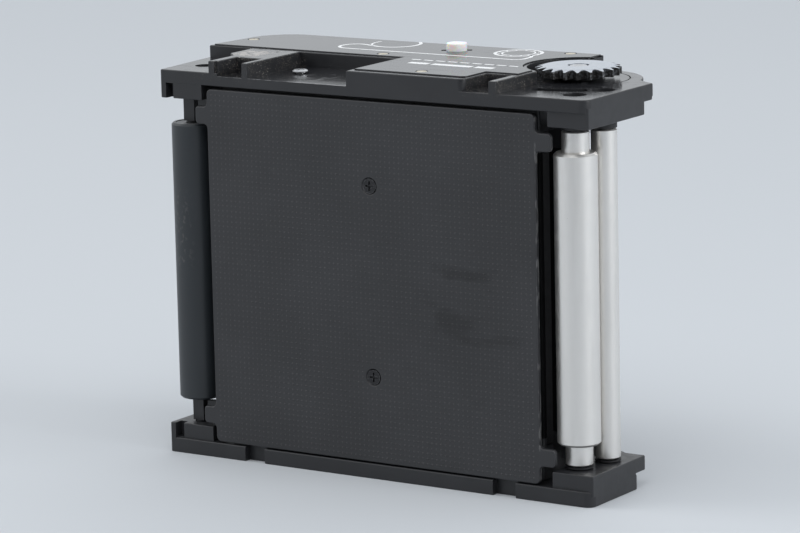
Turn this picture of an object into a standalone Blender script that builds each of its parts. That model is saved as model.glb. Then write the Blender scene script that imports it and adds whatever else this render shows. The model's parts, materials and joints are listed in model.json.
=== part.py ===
"""Roll-film insert for a medium-format camera: two end plates on a film frame, with a sprung pressure plate,
film rollers, a take-up gear, spool keys and studs, and a sensing pin.

Frame: +X along the film, from the supply spool to the take-up gear; -Y is the film side; +Z up from the base.
The origin is midway between the end plates' sides, on the underside of the base. Dimensions are in
millimetres.
"""

import math

import bmesh
import bpy
from mathutils import Matrix, Vector

MM = 0.001

# Outside of the insert
LEFT, RIGHT = -53.7, 53.7
BASE_LEFT = -54.1
FRONT, BACK = -21.5, 21.5
GAP = 0.3
EDGE = 0.25

# Spool, film and roller axes, as (x, y)
SUPPLY = (-40.5, 8.0)
TAKE_UP = (36.1, 5.0)
METERING = (47.3, -15.4)
GUIDE = (49.3, -7.2)
IDLER = (-48.8, -16.7)
SENSOR = (0.6, 13.2)
CHAMBER_R = 13.4
SPOOL_HIGH = 76.2

# Heights of the base plate and the drive plate
BASE_TOP = 3.3
BASE_BLOCK_TOP = 6.65
DRIVE_BLOCK_LOW = 79.0
DRIVE_LOW = 82.35
SHELF_TOP = 85.2
PLATFORM_TOP = 87.8
LABEL_TOP = 88.05

# Plan of the end plates
BACK_CORNER_R = 10.4
SHELF_ARC_R = 13.6
BASE_ARC_R = 9.8
STEP_X = 32.5
BLOCK_SETBACK = 0.6
LEFT_CORNER_R = 0.4
RIGHT_BLOCK_X = 44.0
LEFT_BLOCK_X = -42.9
END_WALL = 1.4
CORNER_NOTCH = 1.9
LEFT_SHELF_Y = -1.0
EAR_CORNER = (LEFT - 1.4, LEFT_SHELF_Y)
SHELF_SIDE_END = 5.5
DRIVE_BLOCK_END = 2.2
BASE_SIDE_END = -2.9
OVERHANG_LOW = 3.5
SHELF_SIDE_LOW = 81.7

# Raised platform of the drive plate
RIB_1 = (-40.7, -38.6)
RIB_1_STEP = (-39.3, FRONT + 0.8)
LEFT_STEP = ((-43.4, -9.5), (-40.7, -12.2))
RIB_2 = (-32.0, -30.6)
RIB_3 = (30.3, 32.0)
CHANNEL_Y = -12.0
LEFT_CHANNEL_Y = -14.0
POCKET = (-30.6, -5.0)
POCKET_BACK = -1.4
POCKET_FLOOR = 84.5
DIMPLE = (-34.8, -4.0)
PLATFORM_RIGHT = 24.1
LABEL_RIGHT = 33.15
LABEL_SETBACK = 1.3
GEAR_CLEARANCE_R = 10.9

# Take-up gear
GEAR_TEETH = 20
FIRST_TOOTH = 11.5
GEAR_TIP_R, GEAR_ROOT_R = 9.1, 7.5
TOOTH_BEVEL = 0.4
GEAR_LOW, GEAR_TOP = 86.1, 88.05
SHAFT_R = 2.0
BUSHING_R = 4.0

# Pressure plate and its mounting
PLATE_LEFT, PLATE_RIGHT = -41.74, 41.08
PLATE_LOW, PLATE_HIGH = 3.6, 81.6
PLATE_FRONT, PLATE_THICK = -21.3, 1.0
EAR_X = 44.8
EARS = ((7.5, 11.3), (73.85, 77.7))
SCREW_HEIGHTS = {"lower": 22.2, "upper": 63.5}
POST_R, POST_BORE_R = 2.6, 1.4

# Sensing pin
PIN_R, PIN_STEM_R = 2.25, 1.2
PIN_SEAT, PIN_SHOULDER, PIN_TOP = 83.2, 85.6, 89.7
PIN_WINDOW, PIN_WINDOW_TURN = (3.35, 0.8), 27.0

# Film frame
FRAME_LOW, FRAME_HIGH = BASE_TOP + GAP, DRIVE_LOW - GAP
WEB_X = 40.0
WEB_FRONT, WEB_BACK = -17.6, -16.0
WEB_EAR_X = -46.6
WEB_EARS = ((BASE_BLOCK_TOP + GAP, 11.5), (73.8, DRIVE_BLOCK_LOW - GAP))
SIDE_WALL = ((38.0, 46.0), (-10.5, -9.4))
SIDE_ARM_END, SIDE_ARM_REACH = 40.0, 1.6
FRAME_LEFT, FRAME_RIGHT = -33.0, 29.0
FRAME_BACK = BACK - GAP
HOLLOW = ((-21.0, 17.0), (WEB_BACK, 18.6))
BACK_PANEL = ((-26.0, 22.0), (14.0, 72.0))
BACK_WINDOW = ((-20.0, 16.0), (18.0, 68.0))
FRAME_SCREWS = ((-25.1, -9.4), (21.5, -11.5), (-25.1, 17.2), (21.0, 17.2))

LABEL_SCREWS = ((-11.2, 2.1), (10.9, -16.7), (25.7, 19.2), (-50.6, 9.5))

# Film leaves, hinged on lugs of the film frame
TAKE_UP_LEAF = (FRAME_RIGHT + 1.3, -11.0)
SUPPLY_LEAF = (FRAME_LEFT - 1.3, -8.5)
LEAF_SPAN = (34.0, 52.0)
LEAF_REACH, LEAF_RISE, LEAF_THIN = 4.6, 2.6, 0.15
EYE_R, PIN_HOLE_R = 0.95, 0.65
LUG_REACH, LUG_THICK = 1.1, 1.6

# Sprung spool studs
STUD_LOW, STUD_SHOULDER = 6.7, 9.9

# Rollers and axles
AXLE_R = 1.2
AXLE_LOW, AXLE_HIGH = 2.8, 83.5
SHELF_HOLE_R = 2.5
SHELF_DIMPLE = (-48.0, -12.7)
THICK_R, THIN_R, GUIDE_R = 4.58, 2.9, 2.75
WASHER_GAP = 0.25
IDLER_R, IDLER_AXLE_R, IDLER_POST = 4.7, 1.3, 1.4
ROLLER_LOW, ROLLER_HIGH, GUIDE_HIGH = 7.5, 77.85, 77.25
METERING_THICK = (11.9, 73.4)
IDLER_SPAN = (12.2, 73.4)

FINISHES = {
    "black_casting": ((0.030, 0.031, 0.035), 0.42, 0.0),
    "black_label": ((0.034, 0.035, 0.039), 0.38, 0.0),
    "black_plate": ((0.026, 0.027, 0.030), 0.45, 0.2),
    "black_roller": ((0.028, 0.031, 0.037), 0.50, 0.0),
    "silver_roller": ((0.62, 0.61, 0.60), 0.38, 0.9),
    "steel": ((0.55, 0.56, 0.60), 0.28, 1.0),
    "brass": ((0.60, 0.52, 0.36), 0.35, 1.0),
    "black_screw": ((0.020, 0.020, 0.022), 0.35, 0.4),
    "white_plastic": ((0.82, 0.82, 0.80), 0.45, 0.0),
    "black_bush": ((0.012, 0.012, 0.013), 0.60, 0.0),
}


# ---------------------------------------------------------------- scene and materials

def clear_scene():
    for thing in list(bpy.data.objects):
        bpy.data.objects.remove(thing, do_unlink=True)


def finish_material(name):
    found = bpy.data.materials.get(name)
    if found:
        return found
    colour, roughness, metallic = FINISHES[name]
    material = bpy.data.materials.new(name)
    material.use_nodes = True
    shader = material.node_tree.nodes["Principled BSDF"]
    shader.inputs["Base Color"].default_value = (*colour, 1.0)
    shader.inputs["Roughness"].default_value = roughness
    shader.inputs["Metallic"].default_value = metallic
    material.diffuse_color = (*colour, 1.0)
    return material


def own_material(thing, finish):
    material = finish_material(finish).copy()
    material.name = thing.name + "_finish"
    thing.data.materials.append(material)


def link_mesh(name, builder, origin=(0.0, 0.0, 0.0)):
    """An object of the bmesh, which is in millimetres about the world's origin, with its own origin moved."""
    place = Vector(origin) * MM
    bmesh.ops.scale(builder, vec=(MM, MM, MM), verts=builder.verts)
    bmesh.ops.translate(builder, vec=-place, verts=builder.verts)
    bmesh.ops.recalc_face_normals(builder, faces=builder.faces)
    mesh = bpy.data.meshes.new(name)
    builder.to_mesh(mesh)
    builder.free()
    thing = bpy.data.objects.new(name, mesh)
    thing.location = place
    bpy.context.scene.collection.objects.link(thing)
    return thing


def smooth(thing, angle=35.0):
    thing.data.shade_smooth()
    thing.data.set_sharp_from_angle(angle=math.radians(angle))


# ---------------------------------------------------------------- outlines

def arc(centre, radius, start, end, steps):
    """Points on an arc, from start to end in degrees."""
    points = []
    for i in range(steps + 1):
        turn = math.radians(start + (end - start) * i / steps)
        points.append((centre[0] + radius * math.cos(turn), centre[1] + radius * math.sin(turn)))
    return points


def rectangle(x_span, y_span):
    (x0, x1), (y0, y1) = x_span, y_span
    return [(x0, y0), (x1, y0), (x1, y1), (x0, y1)]


def rounded(points, radii, steps=4):
    """The outline with each corner that has a radius in radii, by its index, turned into an arc."""
    result = []
    for i, point in enumerate(points):
        radius = radii.get(i, 0.0)
        if radius == 0.0:
            result.append(point)
            continue
        corner = Vector(point)
        before = (Vector(points[i - 1]) - corner).normalized()
        after = (Vector(points[(i + 1) % len(points)]) - corner).normalized()
        half = before.angle(after) / 2.0
        bisector = (before + after).normalized()
        centre = corner + bisector * (radius / math.sin(half))
        reach = radius / math.tan(half)
        first = corner + before * reach - centre
        last = corner + after * reach - centre
        start = math.degrees(math.atan2(first.y, first.x))
        end = math.degrees(math.atan2(last.y, last.x))
        sweep = (end - start + 180.0) % 360.0 - 180.0
        result.extend(arc(centre, radius, start, start + sweep, steps))
    return result


def inset(points, distance):
    """The counter-clockwise outline moved inwards by the distance, with mitred corners."""
    result = []
    for i, point in enumerate(points):
        corner = Vector(point)
        arrive = (corner - Vector(points[i - 1])).normalized()
        leave = (Vector(points[(i + 1) % len(points)]) - corner).normalized()
        normal_a = Vector((-arrive.y, arrive.x))
        normal_b = Vector((-leave.y, leave.x))
        mitre = (normal_a + normal_b).normalized()
        result.append(tuple(corner + mitre * (distance / max(0.3, mitre.dot(normal_a)))))
    return result


# ---------------------------------------------------------------- solids

def slab(name, outline, low, high, edge_low=0.0, edge_high=0.0):
    """The outline, extruded along Z from low to high, with its lower and upper edges chamfered."""
    rings = [(inset(outline, edge_low), low)]
    if edge_low:
        rings.append((outline, low + edge_low))
    if edge_high:
        rings.append((outline, high - edge_high))
    rings.append((inset(outline, edge_high), high))
    builder = bmesh.new()
    loops = []
    for points, height in rings:
        loops.append([builder.verts.new((x, y, height)) for x, y in points])
    for below, above in zip(loops, loops[1:]):
        for i in range(len(below)):
            j = (i + 1) % len(below)
            builder.faces.new((below[i], below[j], above[j], above[i]))
    builder.faces.new(reversed(loops[0]))
    builder.faces.new(loops[-1])
    return link_mesh(name, builder)


def turned(name, profile, centre, steps=20, tube=False, along="Z"):
    """The (radius, height) profile turned about a line through centre; a tube's profile is a closed ring."""
    builder = bmesh.new()
    verts = [builder.verts.new((radius, 0.0, height)) for radius, height in profile]
    edges = [builder.edges.new(pair) for pair in zip(verts, verts[1:])]
    if tube:
        edges.append(builder.edges.new((verts[-1], verts[0])))
    bmesh.ops.spin(
        builder,
        geom=verts + edges,
        cent=(0, 0, 0),
        axis=(0, 0, 1),
        angle=math.tau,
        steps=steps,
        use_duplicate=False,
    )
    bmesh.ops.remove_doubles(builder, verts=builder.verts, dist=1e-4)
    if along == "-Y":
        quarter = Matrix.Rotation(math.pi / 2, 3, "X")
        bmesh.ops.rotate(builder, verts=builder.verts, cent=(0, 0, 0), matrix=quarter)
    bmesh.ops.translate(builder, vec=centre, verts=builder.verts)
    thing = link_mesh(name, builder, centre)
    smooth(thing)
    return thing


def cylinder(name, centre, radius, low, high, steps=20):
    profile = [(0.0, low), (radius, low), (radius, high), (0.0, high)]
    return turned(name, profile, (*centre, 0.0), steps)


def rod(name, centre, radius, low, high, edge=EDGE, steps=16):
    """A cylinder with chamfered ends."""
    profile = [
        (0.0, low),
        (radius - edge, low),
        (radius, low + edge),
        (radius, high - edge),
        (radius - edge, high),
        (0.0, high),
    ]
    return turned(name, profile, (*centre, 0.0), steps)


def sleeve(name, centre, outer, inner, low, high, edge=EDGE, steps=20):
    """A tube, its outer ends chamfered where edge isn't 0."""
    outside = [(outer, low), (outer, high)]
    if edge:
        outside = [(outer - edge, low), (outer, low + edge), (outer, high - edge), (outer - edge, high)]
    profile = [(inner, low)] + outside + [(inner, high)]
    return turned(name, profile, (*centre, 0.0), steps, tube=True)


def boolean(target, tool, operation):
    """Cuts the target with the tool, or joins the tool to it; the tool itself isn't part of the object."""
    tool.hide_render = True
    tool.display_type = "WIRE"
    modifier = target.modifiers.new(operation.lower(), "BOOLEAN")
    modifier.operation = operation
    modifier.object = tool
    modifier.solver = "EXACT"


def cut(target, *tools):
    for tool in tools:
        boolean(target, tool, "DIFFERENCE")


def join(target, *tools):
    for tool in tools:
        boolean(target, tool, "UNION")


def hole(target, centre, radius, low, high, steps=16):
    cutter = cylinder(target.name + "_hole", centre, radius, low, high, steps)
    cut(target, cutter)


def stepped_hole(target, centre, steps, *stages):
    """A hole made of (radius, low, high) stages from the bottom up, cut as one turned shape."""
    profile = [(0.0, stages[0][1])]
    for radius, low, high in stages:
        profile.append((radius, low))
        profile.append((radius, high))
    profile.append((0.0, stages[-1][2]))
    cut(target, turned(target.name + "_bore", profile, (*centre, 0.0), steps))


def countersunk_hole(target, centre, radius, head_radius, face, through, downwards):
    """A hole from the face to the height through, with a cone for a screw's head at the face."""
    way = -1.0 if downwards else 1.0
    depth = head_radius - radius
    profile = [
        (0.0, face - way * 1.0),
        (head_radius, face - way * 1.0),
        (head_radius, face),
        (radius, face + way * depth),
        (radius, through),
        (0.0, through),
    ]
    cut(target, turned(target.name + "_sink", profile, (*centre, 0.0), 16))


def upright(name, outline, front, back, edge):
    """An (x, z) outline extruded along Y from front to back, its front edge chamfered."""
    thing = slab(name, outline, -back, -front, 0.0, edge)
    thing.data.transform(Matrix.Rotation(math.pi / 2, 4, "X"))
    return thing


# ---------------------------------------------------------------- end plates

def plate_outline(left, side_end, arc_r, arc_start, left_corner=()):
    """Plan of an end plate, counter-clockwise: its right side ends at side_end, and an arc about the take-up
    axis runs from there to the step in the back edge. left_corner lists any points of its left side."""
    arc_end = math.degrees(math.acos((STEP_X - TAKE_UP[0]) / arc_r))
    shelf = arc(TAKE_UP, arc_r, arc_start, arc_end, 12)
    corners = [(left, FRONT), (RIGHT, FRONT), (RIGHT, side_end), (shelf[0][0] + 1.2, shelf[0][1] - 0.9)]
    back = [(STEP_X, BACK)] + arc(
        (left + BACK_CORNER_R, BACK - BACK_CORNER_R), BACK_CORNER_R, 90.0, 180.0, 8
    )
    return rounded(corners + shelf + back + list(left_corner), {0: LEFT_CORNER_R, 1: 2.0})


def corner_blocks(target, low, high, right_back, left_end, left_setback, edge_low, edge_high):
    """The blocks that carry the roller ends, one at each front corner, and the wall at the left end."""
    right = rectangle((RIGHT_BLOCK_X, RIGHT), (FRONT + BLOCK_SETBACK, right_back))
    left = rectangle((left_end + 0.1, LEFT_BLOCK_X), (FRONT + left_setback, -10.5))
    wall = rectangle((left_end, left_end + END_WALL), (FRONT, -10.5))
    outlines = {
        "right": rounded(right, {1: 0.4, 2: 0.4}),
        "left": left,
        "wall": rounded(wall, {0: LEFT_CORNER_R}),
    }
    for side, outline in outlines.items():
        join(target, slab(f"{target.name}_{side}_block", outline, low, high, edge_low, edge_high))


def corner_notch(target, left, low, high):
    """The upright slot beside the end wall, at the left front corner."""
    x0 = left + END_WALL
    outline = rectangle((x0, x0 + CORNER_NOTCH), (FRONT - 1.0, FRONT + 2.2))
    cut(target, slab(target.name + "_notch", outline, low, high))


def base_plate():
    outline = plate_outline(BASE_LEFT, BASE_SIDE_END, BASE_ARC_R, -30.0)
    thing = slab("base_plate", outline, 0.0, BASE_TOP, EDGE, EDGE)
    corner_blocks(thing, BASE_TOP - 1.0, BASE_BLOCK_TOP, BASE_SIDE_END, BASE_LEFT, BLOCK_SETBACK, 0.0, EDGE)
    overhang = rounded(rectangle((RIGHT_BLOCK_X, RIGHT), (BASE_SIDE_END - 1.5, 0.9)), {2: 0.4})
    join(thing, slab("base_overhang", overhang, OVERHANG_LOW, BASE_BLOCK_TOP, EDGE, EDGE))
    corner_notch(thing, BASE_LEFT, BASE_TOP + 0.2, BASE_BLOCK_TOP + 1.0)
    for x_span in ((-34.0, -28.8), (29.6, 35.3)):
        outline = rectangle(x_span, (FRONT - 1.0, FRONT + 1.8))
        cut(thing, slab("base_rail_notch", outline, -1.0, BASE_TOP + 1.0))
    for centre, radius in ((METERING, AXLE_R), (GUIDE, AXLE_R), (IDLER, IDLER_AXLE_R)):
        hole(thing, centre, radius + GAP, AXLE_LOW - 0.4, BASE_BLOCK_TOP + 1.0)
    for centre in FRAME_SCREWS:
        countersunk_hole(thing, centre, 1.3, 2.5, 0.0, BASE_TOP + 1.0, False)
    own_material(thing, "black_casting")
    return thing


def platform_outline():
    """Plan of the raised platform with its three ribs, before the gear's recess is cut out of it."""
    left = [
        EAR_CORNER,
        (LEFT_STEP[0][0], LEFT_SHELF_Y),
        *LEFT_STEP,
        (RIB_1[0], FRONT),
        (RIB_1_STEP[0], FRONT),
        RIB_1_STEP,
        (RIB_1[1], RIB_1_STEP[1]),
        (RIB_1[1], LEFT_CHANNEL_Y),
        (RIB_2[0], LEFT_CHANNEL_Y),
        (RIB_2[0], FRONT),
        (RIB_2[1], FRONT),
        (RIB_2[1], POCKET_BACK),
        (POCKET[1], POCKET_BACK),
        (POCKET[1], FRONT),
    ]
    right = [
        (PLATFORM_RIGHT, FRONT),
        (PLATFORM_RIGHT, CHANNEL_Y),
        (RIB_3[0], CHANNEL_Y),
        (RIB_3[0], FRONT),
        (RIB_3[1], FRONT),
        (RIB_3[1], 0.0),
        (STEP_X, 0.0),
        (STEP_X, BACK),
    ]
    corner = arc((LEFT + BACK_CORNER_R, BACK - BACK_CORNER_R), BACK_CORNER_R, 90.0, 180.0, 8)
    return rounded(left + right, {len(left): 1.5}) + corner


def label_blank(name, margin, low, high, edge=0.0):
    """The label's plan, margin smaller than the platform all round, with the gear's recess cut out of it."""
    right = RIB_3[1] - margin
    outline = [
        (EAR_CORNER[0] + margin, LEFT_SHELF_Y + margin),
        (POCKET[1] + margin, LEFT_SHELF_Y + margin),
        (POCKET[1] + margin, FRONT + margin + LABEL_SETBACK),
        (PLATFORM_RIGHT - margin, FRONT + margin + LABEL_SETBACK),
        (PLATFORM_RIGHT - margin, CHANNEL_Y + margin),
        (right, CHANNEL_Y + margin),
        (right, 0.0),
        (LABEL_RIGHT - margin, 0.0),
        (LABEL_RIGHT - margin, BACK - margin),
    ]
    radius = BACK_CORNER_R - margin
    corner = arc((LEFT + BACK_CORNER_R, BACK - BACK_CORNER_R), radius, 90.0, 180.0, 8)
    blank = slab(name, rounded(outline, {3: 1.2}) + corner, low, high, 0.0, edge)
    hole(blank, TAKE_UP, GEAR_CLEARANCE_R + margin, low - 1.0, high + 1.0, 40)
    return blank


def drive_plate():
    outline = plate_outline(LEFT, SHELF_SIDE_END, SHELF_ARC_R, 14.0, [EAR_CORNER])
    thing = slab("drive_plate", outline, DRIVE_LOW, SHELF_TOP, EDGE, EDGE)
    platform = slab("drive_platform", platform_outline(), SHELF_TOP - 1.0, PLATFORM_TOP, 0.0, EDGE)
    hole(platform, TAKE_UP, GEAR_CLEARANCE_R, DRIVE_LOW - 1.0, LABEL_TOP + 1.0, 40)
    join(thing, platform)
    side = rectangle((RIGHT_BLOCK_X, RIGHT), (FRONT + BLOCK_SETBACK, SHELF_SIDE_END))
    side = rounded(side, {1: 1.8, 2: 0.4})
    join(thing, slab("drive_side_block", side, SHELF_SIDE_LOW, DRIVE_LOW + 1.2, EDGE, 0.0))
    corner_blocks(thing, DRIVE_BLOCK_LOW, DRIVE_LOW + 1.0, DRIVE_BLOCK_END, LEFT, 0.1, EDGE, 0.0)
    corner_notch(thing, LEFT, DRIVE_BLOCK_LOW - 1.0, DRIVE_LOW)
    for (x0, x1), wall in ((POCKET, POCKET_BACK), ((RIB_1[1], RIB_2[0]), LEFT_CHANNEL_Y)):
        floor = rectangle((x0 + 0.05, x1 - 0.05), (FRONT - 1.0, wall - 0.05))
        cut(thing, slab("sunk_floor", floor, POCKET_FLOOR, SHELF_TOP + 0.5))
    hole(thing, DIMPLE, 0.35, PLATFORM_TOP - 0.5, PLATFORM_TOP + 1.0, 10)
    cut(thing, label_blank("label_seat", 0.6, PLATFORM_TOP - GAP, LABEL_TOP + 1.0))
    shelf_openings(thing)
    hole(thing, FRAME_SCREWS[0], 1.3, DRIVE_LOW - 1.0, SHELF_TOP + 1.0)
    for centre in FRAME_SCREWS[1:]:
        countersunk_hole(thing, centre, 1.3, 2.4, PLATFORM_TOP - GAP, DRIVE_LOW - 1.0, True)
    own_material(thing, "black_casting")
    return thing


def shelf_openings(plate):
    """Holes of the shelf: over the axles, around the shafts, beside the gear and for the sensing pin."""
    under, over = DRIVE_BLOCK_LOW - 1.0, SHELF_TOP + 1.0
    for centre in (METERING, GUIDE):
        stages = ((AXLE_R + GAP, under, AXLE_HIGH - 0.3), (SHELF_HOLE_R, AXLE_HIGH - 0.3, over))
        stepped_hole(plate, centre, 24, *stages)
    hole(plate, IDLER, IDLER_AXLE_R + GAP, under, AXLE_HIGH + 0.4)
    hole(plate, SHELF_DIMPLE, 2.2, SHELF_TOP - 0.4, over, 24)
    hole(plate, TAKE_UP, BUSHING_R + GAP, DRIVE_LOW - 1.0, over, 24)
    hole(plate, SUPPLY, BUSHING_R + GAP, DRIVE_LOW - 1.0, SHELF_TOP + 0.4, 24)
    slot = arc(TAKE_UP, 18.9, -93.0, -53.0, 8) + arc(TAKE_UP, 15.2, -53.0, -93.0, 8)
    cut(plate, slab("arc_slot", slot, DRIVE_LOW - 1.0, SHELF_TOP + 1.0))
    profile = [
        (10.7, SHELF_TOP - 0.3),
        (11.0, SHELF_TOP - 0.3),
        (11.0, SHELF_TOP + 0.5),
        (10.7, SHELF_TOP + 0.5),
    ]
    cut(plate, turned("gear_groove", profile, (*TAKE_UP, 0.0), 32, tube=True))
    stages = ((PIN_STEM_R + GAP, DRIVE_LOW - 1.0, PIN_SEAT), (PIN_R + GAP, PIN_SEAT, LABEL_TOP + 1.0))
    stepped_hole(plate, SENSOR, 20, *stages)


def pin_window():
    """The label's narrow window across the sensing pin, turned from the film's direction."""
    turn = Matrix.Rotation(math.radians(PIN_WINDOW_TURN), 2)
    reach, half = PIN_WINDOW
    corners = rectangle((-reach, reach), (-half, half))
    return [tuple(turn @ Vector(corner) + Vector(SENSOR)) for corner in corners]


def label_plate():
    thing = label_blank("label_plate", 0.8, PLATFORM_TOP, LABEL_TOP, 0.1)
    hole(thing, SENSOR, PIN_R + GAP, PLATFORM_TOP - 1.0, LABEL_TOP + 1.0, 20)
    cut(thing, slab("pin_window", pin_window(), PLATFORM_TOP - 1.0, LABEL_TOP + 1.0))
    for centre in LABEL_SCREWS:
        countersunk_hole(thing, centre, 1.0, 1.45, LABEL_TOP, PLATFORM_TOP - 1.0, True)
    own_material(thing, "black_label")
    return thing


# ---------------------------------------------------------------- film frame

def frame_outline():
    """Plan of the film frame: the web behind the pressure plate and the waisted box between the spools."""
    half = math.degrees(math.asin((TAKE_UP[0] - FRAME_RIGHT) / CHAMBER_R))
    right = arc(TAKE_UP, CHAMBER_R, 270.0 - half, 90.0 + half, 14)
    half = math.degrees(math.asin((FRAME_LEFT - SUPPLY[0]) / CHAMBER_R))
    left = arc(SUPPLY, CHAMBER_R, 90.0 - half, half - 90.0, 14)
    web = [(-WEB_X, WEB_BACK), (-WEB_X, WEB_FRONT), (WEB_X, WEB_FRONT), (WEB_X, WEB_BACK)]
    back = [(FRAME_RIGHT, FRAME_BACK), (FRAME_LEFT, FRAME_BACK)]
    outline = web + [(FRAME_RIGHT, WEB_BACK)] + right + back + left + [(FRAME_LEFT, WEB_BACK)]
    corner = {0: 0.5, 1: 0.5, 2: 0.5, 3: 0.5}
    corner[5 + len(right)] = 2.0
    corner[6 + len(right)] = 2.0
    return rounded(outline, corner, 3)


def film_frame():
    thing = slab("film_frame", frame_outline(), FRAME_LOW, FRAME_HIGH)
    hollow = rounded(rectangle(*HOLLOW), {0: 2.0, 1: 2.0, 2: 2.0, 3: 2.0}, 3)
    cut(thing, slab("frame_hollow", hollow, FRAME_LOW - 1.0, FRAME_HIGH + 1.0))
    panel = rounded(rectangle(*BACK_PANEL), {0: 3.0, 1: 3.0, 2: 3.0, 3: 3.0}, 4)
    cut(thing, upright("back_panel", panel, FRAME_BACK - 0.8, FRAME_BACK + 1.0, 0.0))
    window = rounded(rectangle(*BACK_WINDOW), {0: 2.0, 1: 2.0, 2: 2.0, 3: 2.0}, 4)
    cut(thing, upright("back_window", window, HOLLOW[1][1] - 1.0, FRAME_BACK + 1.0, 0.0))
    for height in SCREW_HEIGHTS.values():
        profile = [(0.0, 15.0), (POST_R + GAP, 15.0), (POST_R + GAP, 19.0), (0.0, 19.0)]
        cut(thing, turned("post_bore", profile, (0.0, 0.0, height), 16, along="-Y"))
    for centre in FRAME_SCREWS:
        hole(thing, centre, 1.3, FRAME_LOW - 1.0, FRAME_LOW + 7.0)
        hole(thing, centre, 1.3, FRAME_HIGH - 7.0, FRAME_HIGH + 1.0)
    for low, high in WEB_EARS:
        ear = rectangle((WEB_EAR_X, 1.0 - WEB_X), (WEB_FRONT, WEB_BACK))
        join(thing, slab("web_ear", ear, low, high))
    join(thing, *side_wall())
    join(thing, *leaf_hinge(TAKE_UP_LEAF), *leaf_hinge(SUPPLY_LEAF))
    own_material(thing, "black_casting")
    return thing


def side_wall():
    """The wall behind the silver rollers, and the arms that join it to the web at its ends."""
    low, high = BASE_BLOCK_TOP + GAP, DRIVE_BLOCK_LOW - GAP
    x_span, y_span = SIDE_WALL
    arm = rectangle((x_span[0], SIDE_ARM_END), (WEB_BACK - 1.0, y_span[1]))
    return [
        slab("side_wall", rectangle(x_span, y_span), low, high),
        slab("side_arm_low", arm, FRAME_LOW, low + SIDE_ARM_REACH),
        slab("side_arm_high", arm, high - SIDE_ARM_REACH, FRAME_HIGH),
    ]


# ---------------------------------------------------------------- screws

def screw(name, centre, head_radius, shank_radius, face, length, downwards, finish, recess=True):
    """A countersunk screw whose head is flush with the face, with a cross recess."""
    way = -1.0 if downwards else 1.0
    cone = head_radius - shank_radius
    profile = [
        (0.0, face),
        (head_radius, face),
        (shank_radius, face + way * cone),
        (shank_radius, face + way * (length - 0.4)),
        (shank_radius - 0.4, face + way * length),
        (0.0, face + way * length),
    ]
    thing = turned(name, profile, (*centre, 0.0), 16)
    if recess:
        arm = head_radius * 0.62
        half = head_radius * 0.14
        for across, along in ((arm, half), (half, arm)):
            x_span = (centre[0] - across, centre[0] + across)
            y_span = (centre[1] - along, centre[1] + along)
            z_span = sorted((face - way * 1.0, face + way * cone * 0.6))
            cut(thing, slab(name + "_cross", rectangle(x_span, y_span), *z_span))
    own_material(thing, finish)
    return thing


def pan_screw(name, centre, seat):
    """A screw with a low round head above its seat, and a cross recess."""
    top = seat + 0.5
    profile = [
        (0.0, seat - 8.0),
        (1.0, seat - 8.0),
        (1.0, seat),
        (1.75, seat),
        (1.75, seat + 0.2),
        (1.3, top),
        (0.0, top),
    ]
    thing = turned(name, profile, (*centre, 0.0), 20)
    for across, along in ((1.1, 0.25), (0.25, 1.1)):
        x_span = (centre[0] - across, centre[0] + across)
        y_span = (centre[1] - along, centre[1] + along)
        cut(thing, slab(name + "_cross", rectangle(x_span, y_span), seat + 0.2, top + 1.0))
    own_material(thing, "steel")


def frame_screws():
    for i, centre in enumerate(FRAME_SCREWS, 1):
        screw(f"base_screw_{i}", centre, 2.1, 1.0, 0.1, 9.0, False, "black_screw")
    pan_screw("pocket_screw", FRAME_SCREWS[0], POCKET_FLOOR + GAP)
    for i, centre in enumerate(FRAME_SCREWS[1:], 1):
        screw(f"drive_plate_screw_{i}", centre, 2.0, 1.0, PLATFORM_TOP - GAP - 0.1, 8.0, True, "steel", False)


def label_screws():
    for i, centre in enumerate(LABEL_SCREWS, 1):
        profile = [
            (0.0, PLATFORM_TOP),
            (0.7, PLATFORM_TOP),
            (1.1, LABEL_TOP - 0.1),
            (1.0, LABEL_TOP),
            (0.0, LABEL_TOP),
        ]
        thing = turned(f"label_screw_{i}", profile, (*centre, 0.0), 16)
        own_material(thing, "brass")


# ---------------------------------------------------------------- rollers

def rollers():
    low, high = METERING_THICK
    step = 0.5
    profile = [
        (AXLE_R + GAP, ROLLER_LOW),
        (THIN_R - EDGE, ROLLER_LOW),
        (THIN_R, ROLLER_LOW + EDGE),
        (THIN_R, low),
        (THICK_R - step, low),
        (THICK_R, low + step),
        (THICK_R, high - step),
        (THICK_R - step, high),
        (THIN_R, high),
        (THIN_R, ROLLER_HIGH - EDGE),
        (THIN_R - EDGE, ROLLER_HIGH),
        (AXLE_R + GAP, ROLLER_HIGH),
    ]
    metering = turned("metering_roller", profile, (*METERING, 0.0), 24, tube=True)
    own_material(metering, "silver_roller")
    guide = sleeve("guide_roller", GUIDE, GUIDE_R, AXLE_R + GAP, ROLLER_LOW, GUIDE_HIGH)
    own_material(guide, "silver_roller")
    low, high = IDLER_SPAN
    rim, recess, bore = IDLER_R - 0.9, 0.12, IDLER_AXLE_R + GAP
    profile = [
        (bore, low + recess),
        (rim, low + recess),
        (rim, low),
        (IDLER_R - 0.4, low),
        (IDLER_R, low + 0.4),
        (IDLER_R, high - 0.4),
        (IDLER_R - 0.4, high),
        (rim, high),
        (rim, high - recess),
        (bore, high - recess),
    ]
    idler = turned("idler_roller", profile, (*IDLER, 0.0), 24, tube=True)
    own_material(idler, "black_roller")


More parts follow.
